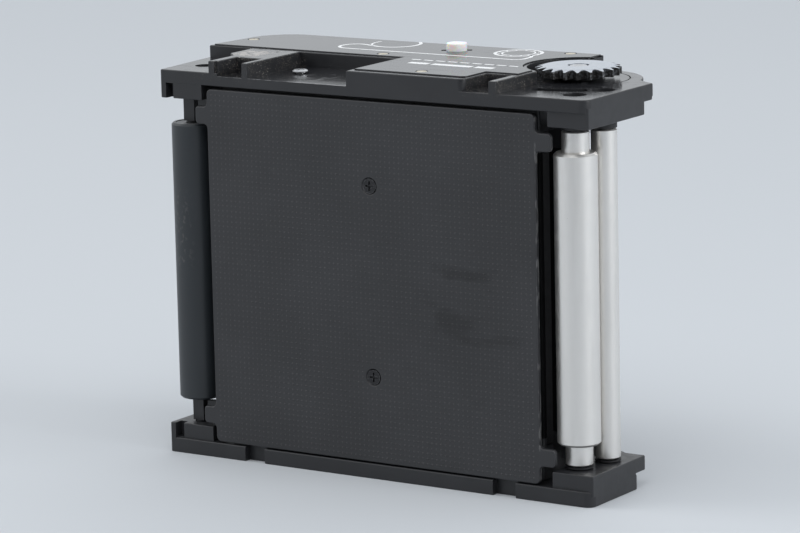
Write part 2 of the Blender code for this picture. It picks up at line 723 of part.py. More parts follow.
def axles_and_washers():
    rollers_held = (("metering", METERING, THIN_R, ROLLER_HIGH), ("guide", GUIDE, GUIDE_R, GUIDE_HIGH))
    for name, centre, radius, top in rollers_held:
        axle = rod(name + "_axle", centre, AXLE_R, AXLE_LOW, AXLE_HIGH)
        own_material(axle, "steel")
        spans = {
            "lower": (BASE_BLOCK_TOP + WASHER_GAP, ROLLER_LOW - WASHER_GAP),
            "upper": (top + WASHER_GAP, DRIVE_BLOCK_LOW - WASHER_GAP),
        }
        for place, span in spans.items():
            washer = sleeve(f"{name}_washer_{place}", centre, radius, AXLE_R + GAP, *span, 0.0, 16)
            own_material(washer, "black_bush")
    axle = rod("idler_axle", IDLER, IDLER_AXLE_R, AXLE_LOW, AXLE_HIGH, steps=20)
    x, y = IDLER
    square = rectangle((x - IDLER_POST, x + IDLER_POST), (y - IDLER_POST, y + IDLER_POST))
    for low, high in ((BASE_BLOCK_TOP, IDLER_SPAN[0]), (IDLER_SPAN[1], DRIVE_BLOCK_LOW)):
        join(axle, slab("idler_post", square, low + GAP, high - GAP))
    own_material(axle, "black_screw")


# ---------------------------------------------------------------- pressure plate

def plate_outline_front():
    """The pressure plate seen from the film side, as (x, z), with an ear near each corner."""
    sides = []
    for x, ear_x in ((PLATE_RIGHT, EAR_X), (PLATE_LEFT, -EAR_X)):
        side = [(x, PLATE_LOW)]
        for low, high in EARS:
            side.extend([(x, low), (ear_x, low), (ear_x, high), (x, high)])
        side.append((x, PLATE_HIGH))
        sides.append(side)
    radii = [1.2, 1.0, 0.8, 0.8, 1.0, 1.0, 0.8, 0.8, 1.0, 1.2]
    both = radii + radii[::-1]
    return rounded(sides[0] + sides[1][::-1], dict(enumerate(both)), 3)


def pressure_plate():
    back = PLATE_FRONT + PLATE_THICK
    thing = upright("pressure_plate", plate_outline_front(), PLATE_FRONT, back, 0.3)
    for height in SCREW_HEIGHTS.values():
        face = -PLATE_FRONT
        profile = [
            (0.0, face + 1.0),
            (1.95, face + 1.0),
            (1.95, face - 0.1),
            (1.3, face - 0.75),
            (1.3, face - PLATE_THICK - 1.0),
            (0.0, face - PLATE_THICK - 1.0),
        ]
        cut(thing, turned("plate_sink", profile, (0.0, 0.0, height), 20, along="-Y"))
    own_material(thing, "black_plate")


def plate_hardware():
    """The two screws through the pressure plate, the posts that guide it, their clips and their springs."""
    for place, height in SCREW_HEIGHTS.items():
        centre = (0.0, 0.0, height)
        face = -PLATE_FRONT - 0.15
        profile = [(0.0, face), (1.6, face), (1.0, face - 0.6), (1.0, face - 7.0), (0.0, face - 7.0)]
        name = f"plate_screw_{place}"
        thing = turned(name, profile, centre, 16, along="-Y")
        for across, along in ((1.05, 0.24), (0.24, 1.05)):
            outline = rectangle((-across, across), (height - along, height + along))
            cut(thing, upright(name + "_cross", outline, PLATE_FRONT - 1.0, PLATE_FRONT + 0.55, 0.0))
        own_material(thing, "black_screw")
        start = -PLATE_FRONT - PLATE_THICK - GAP
        profile = [
            (POST_BORE_R, start),
            (POST_R, start),
            (POST_R, 15.9),
            (1.9, 15.9),
            (1.9, 15.1),
            (POST_R, 15.1),
            (POST_R, 14.4),
            (POST_BORE_R, 14.4),
        ]
        post = turned(f"plate_post_{place}", profile, centre, 16, tube=True, along="-Y")
        own_material(post, "steel")
        profile = [(1.9 + GAP, 15.7), (4.2, 15.7), (4.2, 15.3), (1.9 + GAP, 15.3)]
        clip = turned(f"post_clip_{place}", profile, centre, 16, tube=True, along="-Y")
        own_material(clip, "steel")
        spring = coil_spring(f"plate_spring_{place}", 3.6, 0.25, 17.9, 20.0, 1.5)
        spring.rotation_euler = (math.pi / 2, 0.0, 0.0)
        spring.location = Vector(centre) * MM
        own_material(spring, "steel")


def coil_spring(name, radius, wire, low, high, turns):
    """A helix of round wire about its own Z axis, between two heights."""
    per_turn = 8
    count = int(turns * per_turn)
    curve = bpy.data.curves.new(name, "CURVE")
    curve.dimensions = "3D"
    line = curve.splines.new("POLY")
    line.points.add(count)
    for i, point in enumerate(line.points):
        turn = math.tau * i / per_turn
        height = low + wire + (high - low - 2 * wire) * i / count
        point.co = (radius * math.cos(turn) * MM, radius * math.sin(turn) * MM, height * MM, 1.0)
    curve.bevel_depth = wire * MM
    curve.bevel_resolution = 1
    curve.use_fill_caps = True
    thing = bpy.data.objects.new(name, curve)
    bpy.context.scene.collection.objects.link(thing)
    return thing


# ---------------------------------------------------------------- take-up gear and spool keys

def gear_outline():
    """Teeth with narrow tips and U-shaped valleys, as points about the take-up axis."""
    points = []
    pitch = 360.0 / GEAR_TEETH
    tip_half, steps = 0.07, 8
    for i in range(GEAR_TEETH):
        for k in range(steps + 1):
            across = 2.0 * k / steps - 1.0
            radius = GEAR_ROOT_R + (GEAR_TIP_R - GEAR_ROOT_R) * across * across
            turn = math.radians(FIRST_TOOTH + pitch * (i + 0.5 + (0.5 - tip_half) * across))
            points.append((TAKE_UP[0] + radius * math.cos(turn), TAKE_UP[1] + radius * math.sin(turn)))
    return points


def take_up_gear():
    thing = slab("take_up_gear", gear_outline(), GEAR_LOW, GEAR_TOP)
    rim = GEAR_TIP_R + 1.0
    drop = TOOTH_BEVEL * (rim - GEAR_ROOT_R) / (GEAR_TIP_R - GEAR_ROOT_R)
    bevel = [
        (GEAR_ROOT_R - 0.1, GEAR_TOP),
        (rim, GEAR_TOP - drop),
        (rim, GEAR_TOP + 1.0),
        (GEAR_ROOT_R - 0.1, GEAR_TOP + 1.0),
    ]
    cut(thing, turned("tooth_bevel", bevel, (*TAKE_UP, 0.0), 40, tube=True))
    hole(thing, TAKE_UP, SHAFT_R + GAP, GEAR_LOW - 1.0, GEAR_TOP + 1.0, 20)
    own_material(thing, "steel")


def spool_key(name, centre, shaft_top):
    """A shaft with a collar under the drive plate and a blade that turns the spool."""
    profile = [
        (0.0, SPOOL_HIGH + 0.4),
        (5.2, SPOOL_HIGH + 0.4),
        (5.5, SPOOL_HIGH + 0.7),
        (5.5, 78.3),
        (5.2, 78.6),
        (SHAFT_R, 78.6),
        (SHAFT_R, shaft_top - 0.2),
        (SHAFT_R - 0.2, shaft_top),
        (0.0, shaft_top),
    ]
    thing = turned(name, profile, (*centre, 0.0), 20)
    x, y = centre
    nose = cylinder(name + "_nose", centre, 2.4, SPOOL_HIGH - 0.4, SPOOL_HIGH + 1.0, 16)
    blade = slab(name + "_blade", rectangle((x - 2.6, x + 2.6), (y - 0.5, y + 0.5)), 73.6, 77.6, 0.2, 0.0)
    join(thing, nose, blade)
    own_material(thing, "steel")


def bushing(name, centre, top):
    profile = [
        (SHAFT_R + GAP, 81.5),
        (5.4, 81.5),
        (5.4, DRIVE_LOW - GAP),
        (4.0, DRIVE_LOW - GAP),
        (4.0, top),
        (SHAFT_R + GAP, top),
    ]
    own_material(turned(name, profile, (*centre, 0.0), 20, tube=True), "black_bush")


def spool_drive():
    take_up_gear()
    spool_key("take_up_key", TAKE_UP, GEAR_TOP - 0.1)
    spool_key("supply_key", SUPPLY, SHELF_TOP - 0.1)
    bushing("take_up_bushing", TAKE_UP, SHELF_TOP + 0.4)
    bushing("supply_bushing", SUPPLY, SHELF_TOP)
    for name, centre in (("take_up", TAKE_UP), ("supply", SUPPLY)):
        washer = sleeve(f"{name}_friction_washer", centre, 4.6, SHAFT_R + GAP, 79.2, 80.9, 0.0, 16)
        own_material(washer, "steel")


# ---------------------------------------------------------------- sprung spool studs and sensing pin

def spool_stud(name, centre):
    """The lower spool centre: a shouldered plunger in a cup on the base plate, with its spring under it."""
    profile = [
        (0.0, STUD_LOW),
        (3.7, STUD_LOW),
        (4.0, STUD_LOW + 0.3),
        (4.0, STUD_SHOULDER - 0.3),
        (3.7, STUD_SHOULDER),
        (2.5, STUD_SHOULDER),
        (2.5, 12.2),
        (1.8, 13.0),
        (0.0, 13.3),
    ]
    own_material(turned(f"{name}_stud", profile, (*centre, 0.0), 20), "steel")
    cup = sleeve(f"{name}_stud_cup", centre, 6.4, 4.0 + GAP, BASE_TOP + GAP, 9.2, 0.4)
    own_material(cup, "black_bush")
    spring = coil_spring(f"{name}_stud_spring", 3.0, 0.35, BASE_TOP + 0.3, STUD_LOW - GAP, 2.5)
    spring.location = Vector((*centre, 0.0)) * MM
    own_material(spring, "steel")


def sensing_pin():
    """The white pin that stands out of the label, held up by a spring and kept in by a clip."""
    profile = [
        (0.0, 81.0),
        (PIN_STEM_R, 81.0),
        (PIN_STEM_R, PIN_SHOULDER),
        (PIN_R, PIN_SHOULDER),
        (PIN_R, PIN_TOP - 0.12),
        (PIN_R - 0.12, PIN_TOP),
        (0.0, PIN_TOP),
    ]
    own_material(turned("sensing_pin", profile, (*SENSOR, 0.0), 24), "white_plastic")
    clip = sleeve("pin_clip", SENSOR, 2.6, PIN_STEM_R + GAP, 81.6, 82.1, 0.0, 14)
    own_material(clip, "steel")
    spring = coil_spring("pin_spring", 1.85, 0.18, PIN_SEAT + 0.2, PIN_SHOULDER - 0.2, 2.5)
    spring.location = Vector((*SENSOR, 0.0)) * MM
    own_material(spring, "steel")


# ---------------------------------------------------------------- film leaves

def leaf_hinge(centre):
    """The lugs of the film frame that hold a leaf's pin, one above and one below the leaf."""
    x, y = centre
    inner = FRAME_RIGHT if x > 0.0 else FRAME_LEFT
    way = 1.0 if x > 0.0 else -1.0
    x_span = sorted((inner - way * 0.5, x + way * LUG_REACH))
    outline = rectangle(x_span, (y - LUG_REACH, y + LUG_REACH))
    low, high = LEAF_SPAN
    return [
        slab("leaf_lug_low", outline, low - GAP - LUG_THICK, low - GAP),
        slab("leaf_lug_high", outline, high + GAP, high + GAP + LUG_THICK),
    ]


def film_leaf(name, centre):
    """A sprung leaf that keeps the film roll tight: an eye on a pin, and a curved blade."""
    x, y = centre
    way = 1.0 if x > 0.0 else -1.0
    steps = 6
    near, far = [], []
    for i in range(steps + 1):
        share = i / steps
        out = EYE_R - 0.2 + (LEAF_REACH - EYE_R) * share
        rise = LEAF_RISE * math.sin(share * math.pi / 2.0)
        near.append((x + way * out, y + rise - LEAF_THIN))
        far.append((x + way * out, y + rise + LEAF_THIN))
    outline = near + far[::-1]
    if way < 0.0:
        outline = outline[::-1]
    low, high = LEAF_SPAN
    thing = sleeve(name, centre, EYE_R, PIN_HOLE_R, low, high, 0.0, 14)
    join(thing, slab(name + "_blade", outline, low + 0.1, high - 0.1))
    own_material(thing, "black_screw")
    pin = cylinder(name + "_pin", centre, PIN_HOLE_R - 0.2, low, high, 12)
    own_material(pin, "steel")


def main():
    clear_scene()
    base_plate()
    drive_plate()
    label_plate()
    film_frame()
    frame_screws()
    label_screws()
    rollers()
    axles_and_washers()
    pressure_plate()
    plate_hardware()
    spool_drive()
    spool_stud("take_up", TAKE_UP)
    spool_stud("supply", SUPPLY)
    sensing_pin()
    film_leaf("take_up_leaf", TAKE_UP_LEAF)
    film_leaf("supply_leaf", SUPPLY_LEAF)


main()
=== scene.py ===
"""Looks of the roll-film insert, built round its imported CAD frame.

Frame: +X along the film, from the supply spool to the take-up gear; -Y is the film side; +Z up from the base.
Dimensions are in millimetres; every piece is modelled in place and rides on the CAD body of its node.
"""

import json
import math

import bmesh
import bpy
from mathutils import Matrix, Vector


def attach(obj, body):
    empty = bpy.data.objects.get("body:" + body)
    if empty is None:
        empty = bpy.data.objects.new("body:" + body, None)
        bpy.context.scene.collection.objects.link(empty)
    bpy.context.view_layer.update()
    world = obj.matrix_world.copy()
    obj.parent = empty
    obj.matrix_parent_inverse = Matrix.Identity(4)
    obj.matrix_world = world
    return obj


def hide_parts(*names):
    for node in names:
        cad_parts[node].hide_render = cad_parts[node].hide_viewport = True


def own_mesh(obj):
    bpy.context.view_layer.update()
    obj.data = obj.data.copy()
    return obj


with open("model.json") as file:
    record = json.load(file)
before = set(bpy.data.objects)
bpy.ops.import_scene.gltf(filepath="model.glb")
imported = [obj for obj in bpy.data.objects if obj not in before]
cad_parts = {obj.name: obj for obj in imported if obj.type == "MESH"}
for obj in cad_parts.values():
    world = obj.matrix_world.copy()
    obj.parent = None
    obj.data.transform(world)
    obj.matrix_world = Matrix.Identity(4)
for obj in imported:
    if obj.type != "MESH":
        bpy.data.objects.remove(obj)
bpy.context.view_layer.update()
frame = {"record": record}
BEHAVIOUR = frame["record"]["behaviour"]
BODY_OF = {node: body for body, nodes in BEHAVIOUR["bodies"].items() for node in nodes}

MM = 0.001

# Outside of the insert
LEFT, RIGHT = -53.7, 53.7
BASE_LEFT = -54.1
FRONT, BACK = -21.5, 21.5
GAP = 0.3
EDGE = 0.25

# Spool, film and roller axes, as (x, y)
SUPPLY = (-40.5, 8.0)
TAKE_UP = (36.1, 5.0)
METERING = (47.3, -15.4)
GUIDE = (49.3, -7.2)
IDLER = (-48.8, -16.7)
SENSOR = (0.6, 13.2)
CHAMBER_R = 13.4
SPOOL_HIGH = 76.2

# Heights of the base plate and the drive plate
BASE_TOP = 3.3
BASE_BLOCK_TOP = 6.65
DRIVE_BLOCK_LOW = 79.0
DRIVE_LOW = 82.35
SHELF_TOP = 85.2
PLATFORM_TOP = 87.8
LABEL_TOP = 88.05

# Plan of the end plates
BACK_CORNER_R = 10.4
SHELF_ARC_R = 13.6
BASE_ARC_R = 9.8
STEP_X = 32.5
BLOCK_SETBACK = 0.6
LEFT_CORNER_R = 0.4
RIGHT_BLOCK_X = 44.0
LEFT_BLOCK_X = -42.9
END_WALL = 1.4
CORNER_NOTCH = 1.9
LEFT_SHELF_Y = -1.0
EAR_CORNER = (LEFT - 1.4, LEFT_SHELF_Y)
SHELF_SIDE_END = 5.5
DRIVE_BLOCK_END = 2.2
BASE_SIDE_END = -2.9
OVERHANG_LOW = 3.5
RAIL_NOTCHES, RAIL_NOTCH_DEPTH = ((-34.0, -28.8), (29.6, 35.3)), 1.8
SHELF_SIDE_LOW = 81.7

# Raised platform of the drive plate
RIB_1 = (-40.7, -38.6)
RIB_1_STEP = (-39.3, FRONT + 0.8)
LEFT_STEP = ((-43.4, -9.5), (-40.7, -12.2))
RIB_2 = (-32.0, -30.6)
RIB_3 = (30.3, 32.0)
CHANNEL_Y = -12.0
LEFT_CHANNEL_Y = -14.0
POCKET = (-30.6, -5.0)
POCKET_BACK = -1.4
POCKET_FLOOR = 84.5
DIMPLE = (-34.8, -4.0)
PLATFORM_RIGHT = 24.1
LABEL_RIGHT = 33.15
LABEL_SETBACK = 1.3
GEAR_CLEARANCE_R = 10.9
GROOVE_R = (11.0, 10.7)
ARC_SLOT_R, ARC_SLOT_TURN = (18.9, 15.2), (-93.0, -53.0)

# Take-up gear, spool keys, their collars and bushings
GEAR_TEETH = 20
FIRST_TOOTH = 11.5
GEAR_TIP_R, GEAR_ROOT_R = 9.1, 7.5
TOOTH_BEVEL = 0.4
GEAR_LOW, GEAR_TOP = 86.1, 88.05
SHAFT_R = 2.0
BUSHING_R, BUSHING_FLANGE_R, BUSHING_LOW = 4.0, 5.4, 81.5
COLLAR_R, COLLAR_EDGE, COLLAR_TOP = 5.5, 0.3, 78.6
FRICTION_WASHER_R, FRICTION_WASHER = 4.6, (79.2, 80.9)
NOSE_R, BLADE_REACH, BLADE_THIN, BLADE = 2.4, 2.6, 0.5, (73.6, 77.6)

# Pressure plate and its mounting
PLATE_LEFT, PLATE_RIGHT = -41.74, 41.08
PLATE_LOW, PLATE_HIGH = 3.6, 81.6
PLATE_FRONT, PLATE_THICK = -21.3, 1.0
EAR_X = 44.8
EARS = ((7.5, 11.3), (73.85, 77.7))
SCREW_HEIGHTS = {"lower": 22.2, "upper": 63.5}
POST_R, POST_BORE_R, POST_END = 2.6, 1.4, 14.4
CLIP_GROOVE_R, CLIP_GROOVE = 1.9, (15.1, 15.9)
CLIP_R, CLIP = 4.2, (15.3, 15.7)

# Sensing pin
PIN_R, PIN_STEM_R = 2.25, 1.2
PIN_LOW, PIN_SEAT, PIN_SHOULDER, PIN_TOP, PIN_EDGE = 81.0, 83.2, 85.6, 89.7, 0.12
PIN_CLIP_R, PIN_CLIP = 2.6, (81.6, 82.1)
PIN_WINDOW, PIN_WINDOW_TURN = (3.35, 0.8), 27.0

# Film frame
FRAME_LOW, FRAME_HIGH = BASE_TOP + GAP, DRIVE_LOW - GAP
WEB_X = 40.0
WEB_FRONT, WEB_BACK = -17.6, -16.0
WEB_EAR_X = -46.6
WEB_EARS = ((BASE_BLOCK_TOP + GAP, 11.5), (73.8, DRIVE_BLOCK_LOW - GAP))
SIDE_WALL = ((38.0, 46.0), (-10.5, -9.4))
SIDE_ARM_END, SIDE_ARM_REACH = 40.0, 1.6
FRAME_LEFT, FRAME_RIGHT = -33.0, 29.0
FRAME_BACK = BACK - GAP
HOLLOW = ((-21.0, 17.0), (WEB_BACK, 18.6))
BACK_PANEL = ((-26.0, 22.0), (14.0, 72.0))
BACK_WINDOW = ((-20.0, 16.0), (18.0, 68.0))

# Screws, as (x, y)
FRAME_SCREWS = ((-25.1, -9.4), (21.5, -11.5), (-25.1, 17.2), (21.0, 17.2))
LABEL_SCREWS = ((-11.2, 2.1), (10.9, -16.7), (25.7, 19.2), (-50.6, 9.5))

# Film leaves, hinged on lugs of the film frame
TAKE_UP_LEAF = (FRAME_RIGHT + 1.3, -11.0)
SUPPLY_LEAF = (FRAME_LEFT - 1.3, -8.5)
LEAF_SPAN = (34.0, 52.0)
LEAF_REACH, LEAF_RISE, LEAF_THIN = 4.6, 2.6, 0.15
EYE_R, PIN_HOLE_R = 0.95, 0.65
LUG_REACH, LUG_THICK = 1.1, 1.6

# Sprung spool studs
STUD_LOW, STUD_SHOULDER = 6.7, 9.9
STUD_R, STUD_EDGE, STUD_NECK_R = 4.0, 0.3, 2.5
CUP_R, CUP_TOP = 6.4, 9.2

# Rollers and axles
AXLE_R = 1.2
AXLE_LOW, AXLE_HIGH = 2.8, 83.5
SHELF_HOLE_R = 2.5
SHELF_DIMPLE = (-48.0, -12.7)
THICK_R, THIN_R, GUIDE_R = 4.58, 2.9, 2.75
WASHER_GAP = 0.25
IDLER_R, IDLER_AXLE_R, IDLER_POST = 4.7, 1.3, 1.4
ROLLER_LOW, ROLLER_HIGH, GUIDE_HIGH = 7.5, 77.85, 77.25
METERING_THICK = (11.9, 73.4)
IDLER_SPAN = (12.2, 73.4)

# How much finer the round shapes are than the CAD model's, and the steps of a rounded edge
FINER = 3
ROUND_STEPS = 3

# The pressure plate's springs, as distances towards -Y
PLATE_SPRING = (17.9, 20.0)

# Print on the label
PRINT_THICK = 0.03
SPOOL_MARK, SPOOL_MARK_R = (-17.0, 16.2), 5.4
RING_MARK, RING_MARK_R, RING_MARK_BORE_R = (15.3, 14.9), 5.1, 3.6
RING_DASHES, FIRST_DASH, RING_DASH_SPAN = 12, 8.0, (4.1, 4.9)
TITLE_BARS, TITLE_Y, TITLE_WIDTH = ((1.6, 6.4), (7.4, 17.2), (18.2, 22.6)), -7.1, 2.0
DASHES, DASH_START, DASH_PITCH, DASH_LENGTH, DASH_Y = 9, -0.6, 3.05, 2.2, -2.7

# Raised dots of the pressure plate
DOT_PITCH, DOT_COLUMNS, DOT_ROWS = 1.144, 71, 67
DOT_R, DOT_TOP_R, DOT_HIGH, DOT_SUNK, DOT_SIDES = 0.22, 0.10, 0.07, 0.04, 6
DOT_FREE_R = 2.6

# Studio, in metres: the floor's half width, and each soft light's place, size, watts and colour
FLOOR = 3.0
LIT_POINT = Vector((0.0, 0.0, 0.04))
LIGHTS = {
    "key": ((-1.3, -0.5, 1.0), 0.8, 6.0, (1.0, 0.995, 0.98)),
    "fill": ((0.95, 0.05, 0.45), 0.35, 3.0, (0.97, 0.985, 1.0)),
    "top": ((0.4, -0.7, 1.2), 0.9, 4.6, (1.0, 1.0, 1.0)),
    "back": ((-0.3, 1.1, 0.9), 1.0, 0.8, (0.97, 0.99, 1.0)),
}
TENT_COLOUR = (0.93, 0.965, 1.0)
TENT_FRONT = (0.45, -0.89, 0.0)
TENT_SPAN = {"From Min": 0.50, "From Max": 0.95, "To Min": 0.86, "To Max": 0.10}

# Camera: lens and sensor width in millimetres, place in metres, and the directions of its right and its view
LENS, SENSOR_WIDTH, NEAREST = 181.3, 36.0, 0.01
CAMERA_PLACE = (0.4669, -0.7160, 0.2081)
CAMERA_RIGHT, CAMERA_VIEW = (0.8362, 0.5480, -0.0218), (-0.5417, 0.8189, -0.1900)

# ---------------- finishes

class Finish:
    """A procedural material, put together from layers measured in millimetres in the object's own space."""

    def __init__(self, name, colour, roughness, metallic=0.0, **sockets):
        self.material = bpy.data.materials.new(name)
        self.material.use_nodes = True
        self.tree = self.material.node_tree
        self.shader = self.tree.nodes["Principled BSDF"]
        self.shader.inputs["Metallic"].default_value = metallic
        for key, value in sockets.items():
            self.feed(self.shader.inputs[key.replace("_", " ")], value)
        self.colour = colour
        self.roughness = roughness
        self.normal = None
        self.place = self.add("ShaderNodeTexCoord").outputs["Object"]

    def add(self, kind, inputs=None, **settings):
        node = self.tree.nodes.new(kind)
        for key, value in settings.items():
            setattr(node, key, value)
        for key, value in (inputs or {}).items():
            self.feed(node.inputs[key], value)
        return node

    def feed(self, socket, value):
        if isinstance(value, bpy.types.NodeSocket):
            self.tree.links.new(value, socket)
        elif socket.type == "RGBA":
            socket.default_value = (*value, 1.0)
        else:
            socket.default_value = value

    def stretched(self, stretch):
        """The place, with distances along each axis divided by the stretch."""
        if stretch is None:
            return self.place
        scale = tuple(1.0 / part for part in stretch)
        return self.add("ShaderNodeMapping", {"Vector": self.place, "Scale": scale}).outputs["Vector"]

    def noise(self, size, detail=3.0, stretch=None):
        """Fractal noise from 0 to 1, whose features are about size millimetres across."""
        inputs = {"Vector": self.stretched(stretch), "Scale": 1.0 / (size * MM), "Detail": detail}
        return self.add("ShaderNodeTexNoise", inputs).outputs[0]

    def spots(self, pitch, share, stretch=None):
        """Round spots, about one in each pitch, whose radius is that share of it."""
        inputs = {"Vector": self.stretched(stretch), "Scale": 1.0 / (pitch * MM)}
        distance = self.add("ShaderNodeTexVoronoi", inputs).outputs["Distance"]
        return self.ramp(distance, share, share * 0.6)

    def ramp(self, value, start, end, low=0.0, high=1.0):
        inputs = {"Value": value, "From Min": start, "From Max": end, "To Min": low, "To Max": high}
        return self.add("ShaderNodeMapRange", inputs, interpolation_type="SMOOTHSTEP").outputs["Result"]

    def cloud(self, size, detail, start, end, low=0.0, high=1.0, stretch=None):
        """Noise whose values from start to end spread over low to high, with soft ends."""
        return self.ramp(self.noise(size, detail, stretch), start, end, low, high)

    def math(self, operation, a, b=0.0):
        return self.add("ShaderNodeMath", {0: a, 1: b}, operation=operation).outputs[0]

    def both(self, *masks):
        """The product of the masks, the last of which may be a plain share."""
        result = masks[0]
        for mask in masks[1:]:
            result = self.math("MULTIPLY", result, mask)
        return result

    def edge(self, radius):
        """1 on edges and corners that stand out or in, 0 on open faces."""
        blurred = self.add("ShaderNodeBevel", {"Radius": radius * MM}, samples=4).outputs[0]
        true = self.add("ShaderNodeNewGeometry").outputs["Normal"]
        dot = self.add("ShaderNodeVectorMath", {0: blurred, 1: true}, operation="DOT_PRODUCT")
        return self.ramp(dot.outputs["Value"], 0.985, 0.80)

    def facing(self, axis, start, end):
        """A mask of how far the surface turns towards +axis."""
        normal = self.add("ShaderNodeNewGeometry").outputs["Normal"]
        part = self.add("ShaderNodeSeparateXYZ", {0: normal}).outputs[axis]
        return self.ramp(part, start, end)

    def region(self, soft, **spans):
        """1 inside the spans, which are x, y or z limits in millimetres, with soft borders."""
        parts = self.add("ShaderNodeSeparateXYZ", {0: self.place}).outputs
        masks = []
        for axis, (low, high) in spans.items():
            value = parts["xyz".index(axis)]
            masks.append(self.ramp(value, (low - soft) * MM, low * MM))
            masks.append(self.ramp(value, (high + soft) * MM, high * MM))
        return self.both(*masks)

    def tint(self, factor, colour):
        mix = self.add("ShaderNodeMix", {0: factor, 6: self.colour, 7: colour}, data_type="RGBA")
        self.colour = mix.outputs[2]

    def shine(self, factor, roughness):
        mix = self.add("ShaderNodeMix", {0: factor, 2: self.roughness, 3: roughness}, data_type="FLOAT")
        self.roughness = mix.outputs[0]

    def bump(self, height, depth):
        """Relief of the height, which runs from 0 to 1 over depth millimetres."""
        inputs = {"Height": height, "Distance": depth * MM, "Strength": 1.0}
        node = self.add("ShaderNodeBump", inputs)
        if self.normal is not None:
            self.feed(node.inputs["Normal"], self.normal)
        self.normal = node.outputs["Normal"]

    def done(self):
        self.feed(self.shader.inputs["Base Color"], self.colour)
        self.feed(self.shader.inputs["Roughness"], self.roughness)
        if self.normal is not None:
            self.feed(self.shader.inputs["Normal"], self.normal)
        return self.material


WEAR = (0.13, 0.13, 0.135)
DUST = (0.36, 0.34, 0.31)


def moulded_black():
    """Satin black moulding: glossy on top, edges worn grey, dust and rubbed paint between the ribs, and a
    painted highlight along the front edge of the sunk floors.
    """
    f = Finish("moulded_black", (0.0165, 0.017, 0.0195), 0.38)
    f.tint(f.cloud(9.0, 3.0, 0.40, 0.70, 0.0, 0.45), (0.023, 0.024, 0.027))
    f.shine(f.cloud(2.2, 4.0, 0.35, 0.70), 0.46)
    upwards = f.both(f.facing(2, 0.90, 0.98), f.region(0.3, z=(83.0, 95.0)))
    f.shine(upwards, 0.14)
    f.shine(f.both(upwards, f.cloud(2.4, 4.0, 0.50, 0.70)), 0.24)
    worn = f.both(f.edge(0.16), f.cloud(1.1, 4.0, 0.50, 0.64, 0.10, 0.80))
    f.tint(worn, WEAR)
    patch = f.both(f.region(2.0, x=(-41.4, -36.2), y=(-11.0, -5.2), z=(86.0, 91.0)), upwards)
    rubbed = f.both(patch, f.cloud(1.6, 5.0, 0.40, 0.56))
    f.tint(rubbed, (0.42, 0.40, 0.385))
    f.shine(rubbed, 0.5)
    ribs = f.region(0.8, x=(-44.5, -29.5), y=(-20.9, 0.0), z=(84.0, 88.2))
    right_rib = f.region(0.8, x=(24.2, 33.2), y=(-20.9, 0.0), z=(84.6, 88.2))
    dusty = f.math("MAXIMUM", ribs, right_rib)
    specks = f.both(dusty, f.spots(0.32, 0.34), f.cloud(1.9, 4.0, 0.40, 0.54))
    f.tint(f.both(specks, 0.9), (0.19, 0.17, 0.145))
    f.tint(f.both(dusty, f.spots(0.62, 0.22), f.cloud(2.6, 3.0, 0.46, 0.57)), DUST)
    # Painted highlight: a thin light grey line along the front edge of the sunk floors, on their upward
    # faces.
    lip = f.both(f.region(0.25, x=(-40.8, -4.8), y=(-21.7, -21.2), z=(84.1, 84.7)), f.facing(2, 0.2, 0.7))
    f.tint(f.both(lip, f.cloud(1.6, 3.0, 0.40, 0.55, 0.3, 1.0)), (0.36, 0.36, 0.37))
    sideways = f.math("SUBTRACT", 1.0, upwards)
    f.bump(f.both(f.noise(0.28, 2.0), sideways), 0.005)
    return f.done()


def frame_black():
    """Dull black of the film frame, painted near black as shade behind the pressure plate and the rollers;
    greyer and smoother at its two ends.
    """
    # Painted shade: this base colour is far darker than the castings' black, so the frame's middle reads as
    # shade.
    f = Finish("frame_black", (0.0045, 0.0045, 0.005), 0.75)
    f.tint(f.cloud(6.0, 3.0, 0.4, 0.7, 0.0, 0.5), (0.007, 0.007, 0.0075))
    lower, upper = (f.region(0.2, y=(-19.0, -9.0), z=span) for span in ((3.0, 12.4), (73.0, 82.5)))
    ends = f.math("MAXIMUM", lower, upper)
    f.tint(f.both(ends, 0.9), (0.036, 0.037, 0.040))
    f.shine(f.cloud(1.4, 4.0, 0.4, 0.7), 0.85)
    f.shine(ends, 0.45)
    f.feed(f.shader.inputs["Specular IOR Level"], f.ramp(ends, 0.0, 1.0, 0.12, 0.5))
    f.bump(f.noise(0.4, 3.0), 0.006)
    return f.done()


def printed_label():
    """Label plate: smooth black lacquer with faint rub marks."""
    f = Finish("printed_label", (0.022, 0.023, 0.026), 0.15)
    f.tint(f.cloud(12.0, 3.0, 0.4, 0.7, 0.0, 0.5), (0.030, 0.031, 0.034))
    rub = f.both(f.cloud(0.9, 4.0, 0.55, 0.75, stretch=(8.0, 1.0, 1.0)), f.cloud(16.0, 3.0, 0.45, 0.65))
    f.shine(rub, 0.30)
    f.tint(f.both(f.edge(0.10), f.cloud(0.9, 3.0, 0.42, 0.6, 0.2, 0.8)), (0.28, 0.28, 0.28))
    f.tint(f.both(f.spots(1.3, 0.055), f.cloud(5.0, 3.0, 0.55, 0.62)), DUST)
    f.bump(f.noise(0.35, 2.0), 0.002)
    return f.done()


